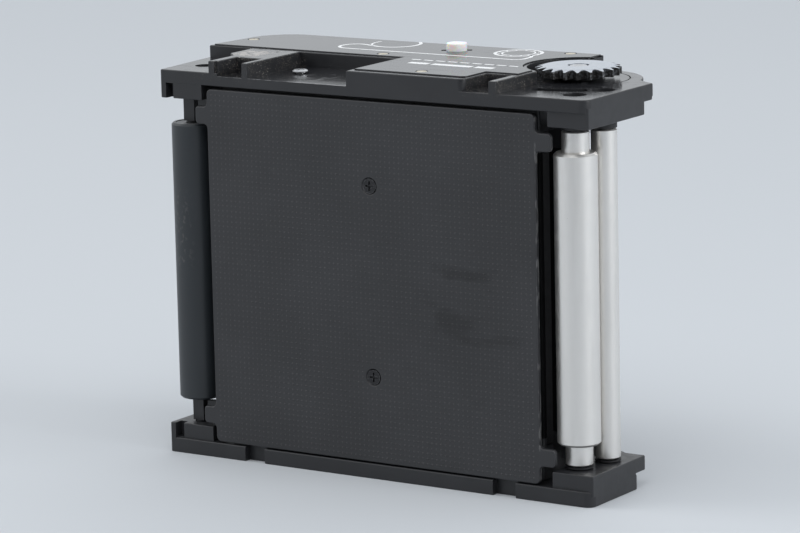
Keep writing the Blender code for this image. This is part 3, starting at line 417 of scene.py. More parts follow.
def pressed_plate(name, colour, roughness):
    """Black-lacquered steel of the pressure plate, with a dull smudge and a light line on its right edge,
    partly worn to the metal and partly a painted highlight.
    """
    f = Finish(name, colour, roughness)
    lighter = tuple(part * 1.30 for part in colour)
    f.tint(f.cloud(22.0, 3.0, 0.35, 0.7), lighter)
    smudge = f.both(
        f.region(7.0, x=(17.0, 33.0), z=(33.0, 46.0)),
        f.cloud(5.0, 4.0, 0.50, 0.66, stretch=(2.4, 1.0, 0.8)),
    )
    f.tint(f.both(smudge, 0.75), (0.008, 0.008, 0.009))
    f.shine(f.both(smudge, 0.8), 0.30)
    marks = f.both(f.cloud(1.2, 4.0, 0.62, 0.74, stretch=(3.0, 1.0, 1.0)), f.cloud(18.0, 3.0, 0.5, 0.65))
    f.tint(f.both(marks, 0.30), (0.05, 0.05, 0.052))
    f.shine(f.cloud(3.0, 4.0, 0.4, 0.7, 0.0, 0.5), roughness + 0.10)
    f.tint(f.both(f.edge(0.15), f.cloud(0.8, 3.0, 0.42, 0.6, 0.15, 0.6)), (0.10, 0.10, 0.10))
    # Light line along the right edge: partly steel worn through the lacquer, partly a painted highlight.
    bare_edge_and_highlight = f.both(f.region(0.05, x=(40.98, 41.3)), f.cloud(1.2, 4.0, 0.50, 0.62, stretch=(1.0, 1.0, 2.5)))
    f.tint(f.both(bare_edge_and_highlight, 0.6), (0.14, 0.14, 0.14))
    f.bump(f.noise(0.22, 2.0), 0.005)
    return f.done()


def black_roller():
    """Blue-black coating of the supply roller: matte, with fine pale scuffs half way up its left side, and
    painted light on its upward faces.
    """
    f = Finish("black_roller_coat", (0.022, 0.0265, 0.031), 0.42)
    f.tint(f.cloud(6.0, 3.0, 0.4, 0.7, 0.0, 0.5, stretch=(1.0, 1.0, 4.0)), (0.028, 0.033, 0.038))
    scuffs = f.both(
        f.region(4.0, x=(-54.0, -49.5), z=(44.0, 56.0)),
        f.cloud(0.8, 5.0, 0.54, 0.66, stretch=(1.0, 1.0, 1.5)),
    )
    f.tint(f.both(scuffs, 0.42), (0.13, 0.125, 0.12))
    f.shine(scuffs, 0.60)
    # Painted light: faces that look upwards are painted a lighter grey.
    f.tint(f.both(f.facing(2, 0.90, 0.98), 0.7), (0.11, 0.115, 0.12))
    f.tint(f.both(f.edge(0.2), f.cloud(0.8, 3.0, 0.42, 0.6, 0.2, 0.6)), (0.10, 0.10, 0.10))
    f.bump(f.noise(0.5, 3.0, (1.0, 1.0, 0.25)), 0.006)
    return f.done()


def turned_aluminium():
    """Clear-anodised rollers: fine turning lines round them, soft streaks along them and a few faint pits."""
    f = Finish("turned_aluminium", (0.80, 0.785, 0.76), 0.34, 0.9)
    f.tint(f.cloud(3.0, 4.0, 0.42, 0.72, 0.0, 0.4, stretch=(1.0, 1.0, 9.0)), (0.69, 0.675, 0.65))
    f.tint(f.both(f.spots(1.5, 0.05), f.cloud(6.0, 3.0, 0.50, 0.58, 0.0, 0.7)), (0.34, 0.32, 0.28))
    f.shine(f.cloud(1.4, 4.0, 0.4, 0.7), 0.44)
    f.bump(f.noise(0.11, 2.0, (60.0, 60.0, 1.0)), 0.0025)
    return f.done()


def bright_steel():
    """Ground steel with fine scratches."""
    f = Finish("bright_steel", (0.56, 0.565, 0.58), 0.26, 1.0)
    f.shine(f.cloud(0.5, 4.0, 0.4, 0.65, stretch=(1.0, 5.0, 1.0)), 0.42)
    f.tint(f.cloud(2.2, 4.0, 0.42, 0.72, 0.0, 0.5), (0.40, 0.405, 0.42))
    f.bump(f.noise(0.16, 3.0, (1.0, 3.0, 1.0)), 0.003)
    return f.done()


def gear_steel():
    """Bluish ground face with fine dark specks on one half, and teeth painted dark below their top edges as
    shade down in the recess.
    """
    f = Finish("gear_steel", (0.56, 0.59, 0.64), 0.30, 1.0)
    f.tint(f.cloud(2.6, 4.0, 0.42, 0.72, 0.0, 0.35), (0.50, 0.53, 0.57))
    f.shine(f.cloud(0.5, 4.0, 0.4, 0.65, stretch=(1.0, 5.0, 1.0)), 0.42)
    specked = f.both(f.spots(0.42, 0.26), f.region(3.0, x=(36.0, 46.0)), f.cloud(1.8, 3.0, 0.42, 0.55))
    f.tint(f.both(specked, 0.65), (0.12, 0.115, 0.11))
    # Painted shade: the sides of the teeth, down in the platform's recess, are painted near black.
    shaded_flanks = f.both(f.facing(2, 0.75, 0.35), f.region(0.15, z=(85.0, 87.75)))
    f.tint(f.both(shaded_flanks, f.cloud(0.6, 4.0, 0.30, 0.60, 0.62, 0.97)), (0.045, 0.041, 0.037))
    f.shine(f.both(shaded_flanks, 0.8), 0.50)
    f.bump(f.noise(0.16, 3.0, (1.0, 3.0, 1.0)), 0.003)
    return f.done()


def worn_brass():
    f = Finish("worn_brass", (0.56, 0.50, 0.38), 0.36, 0.9)
    f.tint(f.cloud(0.5, 4.0, 0.42, 0.62), (0.70, 0.67, 0.60))
    f.shine(f.cloud(0.3, 3.0, 0.4, 0.65), 0.55)
    f.bump(f.noise(0.2, 3.0), 0.004)
    return f.done()


def blackened_steel():
    f = Finish("blackened_steel", (0.016, 0.016, 0.018), 0.30, 0.35)
    f.tint(f.both(f.edge(0.10), f.cloud(0.5, 3.0, 0.4, 0.6, 0.1, 0.8)), (0.30, 0.30, 0.31))
    f.shine(f.cloud(0.6, 4.0, 0.4, 0.65), 0.44)
    f.bump(f.noise(0.2, 3.0), 0.004)
    return f.done()


def white_plastic():
    f = Finish("white_plastic", (1.0, 1.0, 1.0), 0.42, 0.0, Subsurface_Weight=0.7, Subsurface_Scale=0.003)
    f.tint(f.cloud(1.2, 4.0, 0.45, 0.75, 0.0, 0.35), (0.82, 0.82, 0.80))
    f.tint(f.both(f.spots(0.7, 0.09), f.cloud(2.0, 3.0, 0.5, 0.6)), (0.30, 0.28, 0.26))
    f.bump(f.noise(0.3, 3.0), 0.006)
    return f.done()


def bearing_black():
    f = Finish("bearing_black", (0.010, 0.010, 0.012), 0.50)
    f.tint(f.cloud(1.0, 4.0, 0.4, 0.7), (0.020, 0.020, 0.022))
    f.shine(f.cloud(0.5, 3.0, 0.4, 0.65), 0.64)
    f.bump(f.noise(0.25, 3.0), 0.006)
    return f.done()


def white_print():
    """Screen-printed lines: chalky white, thin in places."""
    f = Finish("white_print", (0.85, 0.86, 0.87), 0.50)
    f.tint(f.cloud(0.5, 4.0, 0.50, 0.72, 0.0, 0.6), (0.50, 0.505, 0.51))
    f.shine(f.cloud(1.0, 3.0, 0.4, 0.7), 0.62)
    f.bump(f.noise(0.2, 2.0), 0.003)
    return f.done()


LOOKS = {
    "black_casting": moulded_black(),
    "frame_black": frame_black(),
    "black_label": printed_label(),
    "black_plate": pressed_plate("plate_lacquer", (0.0215, 0.022, 0.0245), 0.42),
    # The dots' lacquer is the plate's, painted lighter: a painted highlight on the raised dots.
    "plate_dots": pressed_plate("plate_dot_lacquer", (0.034, 0.034, 0.036), 0.34),
    "black_roller": black_roller(),
    "silver_roller": turned_aluminium(),
    "steel": bright_steel(),
    "gear_steel": gear_steel(),
    "brass": worn_brass(),
    "black_screw": blackened_steel(),
    "white_plastic": white_plastic(),
    "black_bush": bearing_black(),
    "print": white_print(),
}


# ---------------- pieces

DRAFTS = []


def mesh_of(name, builder):
    """A mesh of the bmesh, which is in millimetres about the world's origin."""
    bmesh.ops.scale(builder, vec=(MM, MM, MM), verts=builder.verts)
    bmesh.ops.recalc_face_normals(builder, faces=builder.faces)
    mesh = bpy.data.meshes.new(name)
    builder.to_mesh(mesh)
    builder.free()
    return mesh


def linked(name, data):
    """A new object in the scene."""
    thing = bpy.data.objects.new(name, data)
    bpy.context.scene.collection.objects.link(thing)
    return thing


def draft(name, data):
    """A shape to cut, join or keep, which the next keep() removes; keep() takes its name for a CAD node's."""
    thing = linked(name + "_draft", data)
    thing["node"] = name
    DRAFTS.append(thing)
    return thing


def smooth(thing, angle=35.0):
    thing.data.shade_smooth()
    thing.data.set_sharp_from_angle(angle=math.radians(angle))


def keep(thing, look):
    """The finished piece: shown in place of its CAD node, in the look, and riding on that node's body."""
    bpy.context.view_layer.update()
    node = thing["node"]
    graph = bpy.context.evaluated_depsgraph_get()
    mesh = bpy.data.meshes.new_from_object(thing.evaluated_get(graph), depsgraph=graph)
    mesh.transform(thing.matrix_world)
    mesh.name = node + "_detail"
    piece = add_piece(mesh.name, mesh, node, look)
    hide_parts(node)
    for used in DRAFTS:
        bpy.data.objects.remove(used)
    DRAFTS.clear()
    return piece


def add_piece(name, mesh, node, look):
    """A shown piece in the look, on the node's body; its flat faces stay flat between its rounded edges."""
    piece = linked(name, mesh)
    mesh.materials.clear()
    mesh.materials.append(LOOKS[look])
    smooth(piece)
    weighted = piece.modifiers.new("even_faces", "WEIGHTED_NORMAL")
    weighted.keep_sharp = True
    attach(piece, BODY_OF[node])
    return piece


def skin(builder, rings, closed=False):
    """Faces between rings of points that follow one another, with a face over each end unless it's closed."""
    loops = [[builder.verts.new(point) for point in ring] for ring in rings]
    pairs = list(zip(loops, loops[1:]))
    if closed:
        pairs.append((loops[-1], loops[0]))
    for below, above in pairs:
        for i in range(len(below)):
            j = (i + 1) % len(below)
            builder.faces.new((below[i], below[j], above[j], above[i]))
    if not closed:
        builder.faces.new(loops[0][::-1])
        builder.faces.new(loops[-1])


# ---------------- outlines

def arc(centre, radius, start, end, steps):
    """Points on an arc, from start to end in degrees, FINER times as many as the CAD model's steps."""
    points = []
    steps *= FINER
    for i in range(steps + 1):
        turn = math.radians(start + (end - start) * i / steps)
        points.append((centre[0] + radius * math.cos(turn), centre[1] + radius * math.sin(turn)))
    return points


def rectangle(x_span, y_span):
    (x0, x1), (y0, y1) = x_span, y_span
    return [(x0, y0), (x1, y0), (x1, y1), (x0, y1)]


def rounded(points, radii, steps=4):
    """The outline with each corner that has a radius in radii, by its index, turned into an arc."""
    result = []
    for i, point in enumerate(points):
        radius = radii.get(i, 0.0)
        if radius == 0.0:
            result.append(point)
            continue
        corner = Vector(point)
        before = (Vector(points[i - 1]) - corner).normalized()
        after = (Vector(points[(i + 1) % len(points)]) - corner).normalized()
        half = before.angle(after) / 2.0
        bisector = (before + after).normalized()
        centre = corner + bisector * (radius / math.sin(half))
        reach = radius / math.tan(half)
        first = corner + before * reach - centre
        last = corner + after * reach - centre
        start = math.degrees(math.atan2(first.y, first.x))
        end = math.degrees(math.atan2(last.y, last.x))
        sweep = (end - start + 180.0) % 360.0 - 180.0
        result.extend(arc(centre, radius, start, start + sweep, steps))
    return result


def inset(points, distance):
    """The counter-clockwise outline moved inwards by the distance, with mitred corners."""
    result = []
    for i, point in enumerate(points):
        corner = Vector(point)
        arrive = (corner - Vector(points[i - 1])).normalized()
        leave = (Vector(points[(i + 1) % len(points)]) - corner).normalized()
        normal_a = Vector((-arrive.y, arrive.x))
        normal_b = Vector((-leave.y, leave.x))
        mitre = (normal_a + normal_b).normalized()
        result.append(tuple(corner + mitre * (distance / max(0.3, mitre.dot(normal_a)))))
    return result


# ---------------- solids

def edge_rings(outline, height, edge, way):
    """Rings of a rounded edge, from the face at the height towards the side, as (points, height)."""
    if not edge:
        return [(outline, height)]
    rings = []
    for i in range(ROUND_STEPS + 1):
        turn = math.pi / 2.0 * i / ROUND_STEPS
        ring = inset(outline, edge * (1.0 - math.sin(turn)))
        rings.append((ring, height + way * edge * (1.0 - math.cos(turn))))
    return rings


def slab(name, outline, low, high, edge_low=0.0, edge_high=0.0):
    """The outline, extruded along Z from low to high, with its lower and upper edges rounded."""
    rings = edge_rings(outline, low, edge_low, 1.0) + edge_rings(outline, high, edge_high, -1.0)[::-1]
    builder = bmesh.new()
    skin(builder, [[(x, y, height) for x, y in points] for points, height in rings])
    return draft(name, mesh_of(name, builder))


def turned(name, profile, centre, steps=20, tube=False, along="Z"):
    """The (radius, height) profile turned about a line through centre, an (x, y) or (x, y, z) point.

    A tube's profile is a closed ring. Any other profile runs on from its ends to the line."""
    if not tube:
        profile = [(0.0, profile[0][1]), *profile]
        if profile[-1][0] > 0.0:
            profile.append((0.0, profile[-1][1]))
    builder = bmesh.new()
    verts = [builder.verts.new((radius, 0.0, height)) for radius, height in profile]
    edges = [builder.edges.new(pair) for pair in zip(verts, verts[1:])]
    if tube:
        edges.append(builder.edges.new((verts[-1], verts[0])))
    bmesh.ops.spin(
        builder,
        geom=verts + edges,
        cent=(0, 0, 0),
        axis=(0, 0, 1),
        angle=math.tau,
        steps=steps * FINER,
        use_duplicate=False,
    )
    bmesh.ops.remove_doubles(builder, verts=builder.verts, dist=1e-4)
    if along == "-Y":
        quarter = Matrix.Rotation(math.pi / 2, 3, "X")
        bmesh.ops.rotate(builder, verts=builder.verts, cent=(0, 0, 0), matrix=quarter)
    bmesh.ops.translate(builder, vec=Vector(centre).to_3d(), verts=builder.verts)
    return draft(name, mesh_of(name, builder))


def cylinder(name, centre, radius, low, high, steps=20):
    return turned(name, [(radius, low), (radius, high)], centre, steps)


def rod(name, centre, radius, low, high, edge=EDGE, steps=16):
    """A cylinder with chamfered ends."""
    inner = radius - edge
    profile = [(inner, low), (radius, low + edge), (radius, high - edge), (inner, high)]
    return turned(name, profile, centre, steps)


def sleeve(name, centre, outer, inner, low, high, edge=EDGE, steps=20):
    """A tube, its outer ends chamfered where edge isn't 0."""
    outside = [(outer, low), (outer, high)]
    if edge:
        outside = [(outer - edge, low), (outer, low + edge), (outer, high - edge), (outer - edge, high)]
    profile = [(inner, low)] + outside + [(inner, high)]
    return turned(name, profile, centre, steps, tube=True)


def boolean(target, tool, operation):
    """Cuts the target with the tool, or joins the tool to it; the tool itself isn't part of the object."""
    tool.hide_render = True
    tool.display_type = "WIRE"
    modifier = target.modifiers.new(operation.lower(), "BOOLEAN")
    modifier.operation = operation
    modifier.object = tool
    modifier.solver = "EXACT"


def cut(target, *tools):
    for tool in tools:
        boolean(target, tool, "DIFFERENCE")


def join(target, *tools):
    for tool in tools:
        boolean(target, tool, "UNION")


def hole(target, centre, radius, low, high, steps=16):
    cut(target, cylinder(target.name + "_hole", centre, radius, low, high, steps))


def stepped_hole(target, centre, steps, *stages):
    """A hole made of (radius, low, high) stages from the bottom up, cut as one turned shape."""
    profile = [(radius, height) for radius, *span in stages for height in span]
    cut(target, turned(target.name + "_bore", profile, centre, steps))


def countersunk_hole(target, centre, radius, head_radius, face, through, downwards):
    """A hole from the face to the height through, with a cone for a screw's head at the face."""
    way = -1.0 if downwards else 1.0
    depth = head_radius - radius
    profile = [
        (head_radius, face - way * 1.0),
        (head_radius, face),
        (radius, face + way * depth),
        (radius, through),
    ]
    cut(target, turned(target.name + "_sink", profile, centre, 16))


def upright(name, outline, front, back, edge=0.0):
    """An (x, z) outline extruded along Y from front to back, its front edge chamfered."""
    thing = slab(name, outline, -back, -front, 0.0, edge)
    thing.data.transform(Matrix.Rotation(math.pi / 2, 4, "X"))
    return thing


# ---------------- end plates

def plate_outline(left, side_end, arc_r, arc_start, left_corner=()):
    """Plan of an end plate, counter-clockwise: its right side ends at side_end, and an arc about the take-up
    axis runs from there to the step in the back edge. left_corner lists any points of its left side."""
    arc_end = math.degrees(math.acos((STEP_X - TAKE_UP[0]) / arc_r))
    shelf = arc(TAKE_UP, arc_r, arc_start, arc_end, 12)
    corners = [(left, FRONT), (RIGHT, FRONT), (RIGHT, side_end), (shelf[0][0] + 1.2, shelf[0][1] - 0.9)]
    back = [(STEP_X, BACK)] + arc(
        (left + BACK_CORNER_R, BACK - BACK_CORNER_R), BACK_CORNER_R, 90.0, 180.0, 8
    )
    return rounded(corners + shelf + back + list(left_corner), {0: LEFT_CORNER_R, 1: 2.0})


def corner_blocks(target, low, high, right_back, left_end, left_setback, edge_low, edge_high):
    """The blocks that carry the roller ends, one at each front corner, and the wall at the left end."""
    right = rectangle((RIGHT_BLOCK_X, RIGHT), (FRONT + BLOCK_SETBACK, right_back))
    left = rectangle((left_end + 0.1, LEFT_BLOCK_X), (FRONT + left_setback, -10.5))
    wall = rectangle((left_end, left_end + END_WALL), (FRONT, -10.5))
    outlines = {
        "right": rounded(right, {1: 0.4, 2: 0.4}),
        "left": left,
        "wall": rounded(wall, {0: LEFT_CORNER_R}),
    }
    for side, outline in outlines.items():
        join(target, slab(f"{target.name}_{side}_block", outline, low, high, edge_low, edge_high))


def corner_notch(target, left, low, high):
    """The upright slot beside the end wall, at the left front corner."""
    x0 = left + END_WALL
    outline = rectangle((x0, x0 + CORNER_NOTCH), (FRONT - 1.0, FRONT + 2.2))
    cut(target, slab(target.name + "_notch", outline, low, high))


def base_plate():
    outline = plate_outline(BASE_LEFT, BASE_SIDE_END, BASE_ARC_R, -30.0)
    thing = slab("base_plate", outline, 0.0, BASE_TOP, EDGE, EDGE)
    corner_blocks(thing, BASE_TOP - 1.0, BASE_BLOCK_TOP, BASE_SIDE_END, BASE_LEFT, BLOCK_SETBACK, 0.0, EDGE)
    overhang = rounded(rectangle((RIGHT_BLOCK_X, RIGHT), (BASE_SIDE_END - 1.5, 0.9)), {2: 0.4})
    join(thing, slab("base_overhang", overhang, OVERHANG_LOW, BASE_BLOCK_TOP, EDGE, EDGE))
    corner_notch(thing, BASE_LEFT, BASE_TOP + 0.2, BASE_BLOCK_TOP + 1.0)
    for x_span in RAIL_NOTCHES:
        outline = rectangle(x_span, (FRONT - 1.0, FRONT + RAIL_NOTCH_DEPTH))
        cut(thing, slab("base_rail_notch", outline, -1.0, BASE_TOP + 1.0))
    for centre, radius in ((METERING, AXLE_R), (GUIDE, AXLE_R), (IDLER, IDLER_AXLE_R)):
        hole(thing, centre, radius + GAP, AXLE_LOW - 0.4, BASE_BLOCK_TOP + 1.0)
    for centre in FRAME_SCREWS:
        countersunk_hole(thing, centre, 1.3, 2.5, 0.0, BASE_TOP + 1.0, False)
    keep(thing, "black_casting")


def platform_outline():
    """Plan of the raised platform with its three ribs, before the gear's recess is cut out of it."""
    left = [
        EAR_CORNER,
        (LEFT_STEP[0][0], LEFT_SHELF_Y),
        *LEFT_STEP,
        (RIB_1[0], FRONT),
        (RIB_1_STEP[0], FRONT),
        RIB_1_STEP,
        (RIB_1[1], RIB_1_STEP[1]),
        (RIB_1[1], LEFT_CHANNEL_Y),
        (RIB_2[0], LEFT_CHANNEL_Y),
        (RIB_2[0], FRONT),
        (RIB_2[1], FRONT),
        (RIB_2[1], POCKET_BACK),
        (POCKET[1], POCKET_BACK),
        (POCKET[1], FRONT),
    ]
    right = [
        (PLATFORM_RIGHT, FRONT),
        (PLATFORM_RIGHT, CHANNEL_Y),
        (RIB_3[0], CHANNEL_Y),
        (RIB_3[0], FRONT),
        (RIB_3[1], FRONT),
        (RIB_3[1], 0.0),
        (STEP_X, 0.0),
        (STEP_X, BACK),
    ]
    corner = arc((LEFT + BACK_CORNER_R, BACK - BACK_CORNER_R), BACK_CORNER_R, 90.0, 180.0, 8)
    return rounded(left + right, {len(left): 1.5}) + corner


def label_blank(name, margin, low, high, edge=0.0):
    """The label's plan, margin smaller than the platform all round, with the gear's recess cut out of it."""
    right = RIB_3[1] - margin
    outline = [
        (EAR_CORNER[0] + margin, LEFT_SHELF_Y + margin),
        (POCKET[1] + margin, LEFT_SHELF_Y + margin),
        (POCKET[1] + margin, FRONT + margin + LABEL_SETBACK),
        (PLATFORM_RIGHT - margin, FRONT + margin + LABEL_SETBACK),
        (PLATFORM_RIGHT - margin, CHANNEL_Y + margin),
        (right, CHANNEL_Y + margin),
        (right, 0.0),
        (LABEL_RIGHT - margin, 0.0),
        (LABEL_RIGHT - margin, BACK - margin),
    ]
    radius = BACK_CORNER_R - margin
    corner = arc((LEFT + BACK_CORNER_R, BACK - BACK_CORNER_R), radius, 90.0, 180.0, 8)
    blank = slab(name, rounded(outline, {3: 1.2}) + corner, low, high, 0.0, edge)
    hole(blank, TAKE_UP, GEAR_CLEARANCE_R + margin, low - 1.0, high + 1.0, 40)
    return blank


def drive_plate():
    outline = plate_outline(LEFT, SHELF_SIDE_END, SHELF_ARC_R, 14.0, [EAR_CORNER])
    thing = slab("drive_plate", outline, DRIVE_LOW, SHELF_TOP, EDGE, EDGE)
    platform = slab("drive_platform", platform_outline(), SHELF_TOP - 1.0, PLATFORM_TOP, 0.0, EDGE)
    hole(platform, TAKE_UP, GEAR_CLEARANCE_R, DRIVE_LOW - 1.0, LABEL_TOP + 1.0, 40)
    join(thing, platform)
    side = rectangle((RIGHT_BLOCK_X, RIGHT), (FRONT + BLOCK_SETBACK, SHELF_SIDE_END))
    side = rounded(side, {1: 1.8, 2: 0.4})
    join(thing, slab("drive_side_block", side, SHELF_SIDE_LOW, DRIVE_LOW + 1.2, EDGE, 0.0))
    corner_blocks(thing, DRIVE_BLOCK_LOW, DRIVE_LOW + 1.0, DRIVE_BLOCK_END, LEFT, 0.1, EDGE, 0.0)
    corner_notch(thing, LEFT, DRIVE_BLOCK_LOW - 1.0, DRIVE_LOW)
    for (x0, x1), wall in ((POCKET, POCKET_BACK), ((RIB_1[1], RIB_2[0]), LEFT_CHANNEL_Y)):
        floor = rectangle((x0 + 0.05, x1 - 0.05), (FRONT - 1.0, wall - 0.05))
        cut(thing, slab("sunk_floor", floor, POCKET_FLOOR, SHELF_TOP + 0.5))
    hole(thing, DIMPLE, 0.35, PLATFORM_TOP - 0.5, PLATFORM_TOP + 1.0, 10)
    cut(thing, label_blank("label_seat", 0.6, PLATFORM_TOP - GAP, LABEL_TOP + 1.0))
    shelf_openings(thing)
    hole(thing, FRAME_SCREWS[0], 1.3, DRIVE_LOW - 1.0, SHELF_TOP + 1.0)
    for centre in FRAME_SCREWS[1:]:
        countersunk_hole(thing, centre, 1.3, 2.4, PLATFORM_TOP - GAP, DRIVE_LOW - 1.0, True)
    keep(thing, "black_casting")


def shelf_openings(plate):
    """Holes of the shelf: over the axles, around the shafts, beside the gear and for the sensing pin."""
    under, over = DRIVE_BLOCK_LOW - 1.0, SHELF_TOP + 1.0
    for centre in (METERING, GUIDE):
        stages = ((AXLE_R + GAP, under, AXLE_HIGH - 0.3), (SHELF_HOLE_R, AXLE_HIGH - 0.3, over))
        stepped_hole(plate, centre, 24, *stages)
    hole(plate, IDLER, IDLER_AXLE_R + GAP, under, AXLE_HIGH + 0.4)
    hole(plate, SHELF_DIMPLE, 2.2, SHELF_TOP - 0.4, over, 24)
    hole(plate, TAKE_UP, BUSHING_R + GAP, DRIVE_LOW - 1.0, over, 24)
    hole(plate, SUPPLY, BUSHING_R + GAP, DRIVE_LOW - 1.0, SHELF_TOP + 0.4, 24)
    outer_r, inner_r = ARC_SLOT_R
    start, end = ARC_SLOT_TURN
    slot = arc(TAKE_UP, outer_r, start, end, 8) + arc(TAKE_UP, inner_r, end, start, 8)
    cut(plate, slab("arc_slot", slot, DRIVE_LOW - 1.0, over))
    cut(plate, sleeve("gear_groove", TAKE_UP, *GROOVE_R, SHELF_TOP - 0.3, SHELF_TOP + 0.5, 0.0, 32))
    stages = ((PIN_STEM_R + GAP, DRIVE_LOW - 1.0, PIN_SEAT), (PIN_R + GAP, PIN_SEAT, LABEL_TOP + 1.0))
    stepped_hole(plate, SENSOR, 20, *stages)


def pin_window():
    """The label's narrow window across the sensing pin, turned from the film's direction."""
    turn = Matrix.Rotation(math.radians(PIN_WINDOW_TURN), 2)
    reach, half = PIN_WINDOW
    corners = rectangle((-reach, reach), (-half, half))
    return [tuple(turn @ Vector(corner) + Vector(SENSOR)) for corner in corners]


def label_plate():
    thing = label_blank("label_plate", 0.8, PLATFORM_TOP, LABEL_TOP, 0.1)
    hole(thing, SENSOR, PIN_R + GAP, PLATFORM_TOP - 1.0, LABEL_TOP + 1.0, 20)
    cut(thing, slab("pin_window", pin_window(), PLATFORM_TOP - 1.0, LABEL_TOP + 1.0))
    for centre in LABEL_SCREWS:
        countersunk_hole(thing, centre, 1.0, 1.45, LABEL_TOP, PLATFORM_TOP - 1.0, True)
    keep(thing, "black_label")


# ---------------- film frame

def frame_outline():
    """Plan of the film frame: the web behind the pressure plate and the waisted box between the spools."""
    half = math.degrees(math.asin((TAKE_UP[0] - FRAME_RIGHT) / CHAMBER_R))
    right = arc(TAKE_UP, CHAMBER_R, 270.0 - half, 90.0 + half, 14)
    half = math.degrees(math.asin((FRAME_LEFT - SUPPLY[0]) / CHAMBER_R))
    left = arc(SUPPLY, CHAMBER_R, 90.0 - half, half - 90.0, 14)
    web = [(-WEB_X, WEB_BACK), (-WEB_X, WEB_FRONT), (WEB_X, WEB_FRONT), (WEB_X, WEB_BACK)]
    back = [(FRAME_RIGHT, FRAME_BACK), (FRAME_LEFT, FRAME_BACK)]
    outline = web + [(FRAME_RIGHT, WEB_BACK)] + right + back + left + [(FRAME_LEFT, WEB_BACK)]
    corner = {0: 0.5, 1: 0.5, 2: 0.5, 3: 0.5}
    corner[5 + len(right)] = 2.0
    corner[6 + len(right)] = 2.0
    return rounded(outline, corner, 3)


def film_frame():
    thing = slab("film_frame", frame_outline(), FRAME_LOW, FRAME_HIGH)
    hollow = rounded(rectangle(*HOLLOW), {0: 2.0, 1: 2.0, 2: 2.0, 3: 2.0}, 3)
    cut(thing, slab("frame_hollow", hollow, FRAME_LOW - 1.0, FRAME_HIGH + 1.0))
    panel = rounded(rectangle(*BACK_PANEL), {0: 3.0, 1: 3.0, 2: 3.0, 3: 3.0}, 4)
    cut(thing, upright("back_panel", panel, FRAME_BACK - 0.8, FRAME_BACK + 1.0))
    window = rounded(rectangle(*BACK_WINDOW), {0: 2.0, 1: 2.0, 2: 2.0, 3: 2.0}, 4)
    cut(thing, upright("back_window", window, HOLLOW[1][1] - 1.0, FRAME_BACK + 1.0))
    for height in SCREW_HEIGHTS.values():
        profile = [(POST_R + GAP, 15.0), (POST_R + GAP, 19.0)]
        cut(thing, turned("post_bore", profile, (0.0, 0.0, height), 16, along="-Y"))
    for centre in FRAME_SCREWS:
        hole(thing, centre, 1.3, FRAME_LOW - 1.0, FRAME_LOW + 7.0)
        hole(thing, centre, 1.3, FRAME_HIGH - 7.0, FRAME_HIGH + 1.0)
    for low, high in WEB_EARS:
        ear = rectangle((WEB_EAR_X, 1.0 - WEB_X), (WEB_FRONT, WEB_BACK))
        join(thing, slab("web_ear", ear, low, high))
    join(thing, *side_wall())
    join(thing, *leaf_hinge(TAKE_UP_LEAF), *leaf_hinge(SUPPLY_LEAF))
    keep(thing, "frame_black")


def side_wall():
    """The wall behind the silver rollers, and the arms that join it to the web at its ends."""
    low, high = BASE_BLOCK_TOP + GAP, DRIVE_BLOCK_LOW - GAP
    x_span, y_span = SIDE_WALL
    arm = rectangle((x_span[0], SIDE_ARM_END), (WEB_BACK - 1.0, y_span[1]))
    return [
        slab("side_wall", rectangle(x_span, y_span), low, high),
        slab("side_arm_low", arm, FRAME_LOW, low + SIDE_ARM_REACH),
        slab("side_arm_high", arm, high - SIDE_ARM_REACH, FRAME_HIGH),
    ]


# ---------------- screws

def cross(target, centre, arm, half, low, high, shape=slab):
    """Cuts a cross recess into a screw's head; arm and half are half the length and width of its bars."""
    x, y = centre
    for across, along in ((arm, half), (half, arm)):
        outline = rectangle((x - across, x + across), (y - along, y + along))
        cut(target, shape(target["node"] + "_cross", outline, low, high))


def screw(name, centre, head_radius, shank_radius, face, length, downwards, look, recess=True):
    """A countersunk screw whose head is flush with the face, with or without a cross recess."""
    way = -1.0 if downwards else 1.0
    cone = head_radius - shank_radius
    profile = [
        (head_radius, face),
        (shank_radius, face + way * cone),
        (shank_radius, face + way * (length - 0.4)),
        (shank_radius - 0.4, face + way * length),
    ]
    thing = turned(name, profile, centre, 16)
    if recess:
        span = sorted((face - way * 1.0, face + way * cone * 0.6))
        cross(thing, centre, head_radius * 0.62, head_radius * 0.14, *span)
    keep(thing, look)


def pan_screw(name, centre, seat):
    """A screw with a low round head above its seat, and a cross recess."""
    top = seat + 0.5
    profile = [(1.0, seat - 8.0), (1.0, seat), (1.75, seat), (1.75, seat + 0.2), (1.3, top)]
    thing = turned(name, profile, centre, 20)
    cross(thing, centre, 1.1, 0.25, seat + 0.2, top + 1.0)
    keep(thing, "steel")


def frame_screws():
    for i, centre in enumerate(FRAME_SCREWS, 1):
        screw(f"base_screw_{i}", centre, 2.1, 1.0, 0.1, 9.0, False, "black_screw")
    pan_screw("pocket_screw", FRAME_SCREWS[0], POCKET_FLOOR + GAP)
    face = PLATFORM_TOP - GAP - 0.1
    for i, centre in enumerate(FRAME_SCREWS[1:], 1):
        screw(f"drive_plate_screw_{i}", centre, 2.0, 1.0, face, 8.0, True, "steel", recess=False)


def label_screws():
    profile = [(0.7, PLATFORM_TOP), (1.1, LABEL_TOP - 0.1), (1.0, LABEL_TOP)]
    for i, centre in enumerate(LABEL_SCREWS, 1):
        keep(turned(f"label_screw_{i}", profile, centre, 16), "brass")


# ---------------- rollers

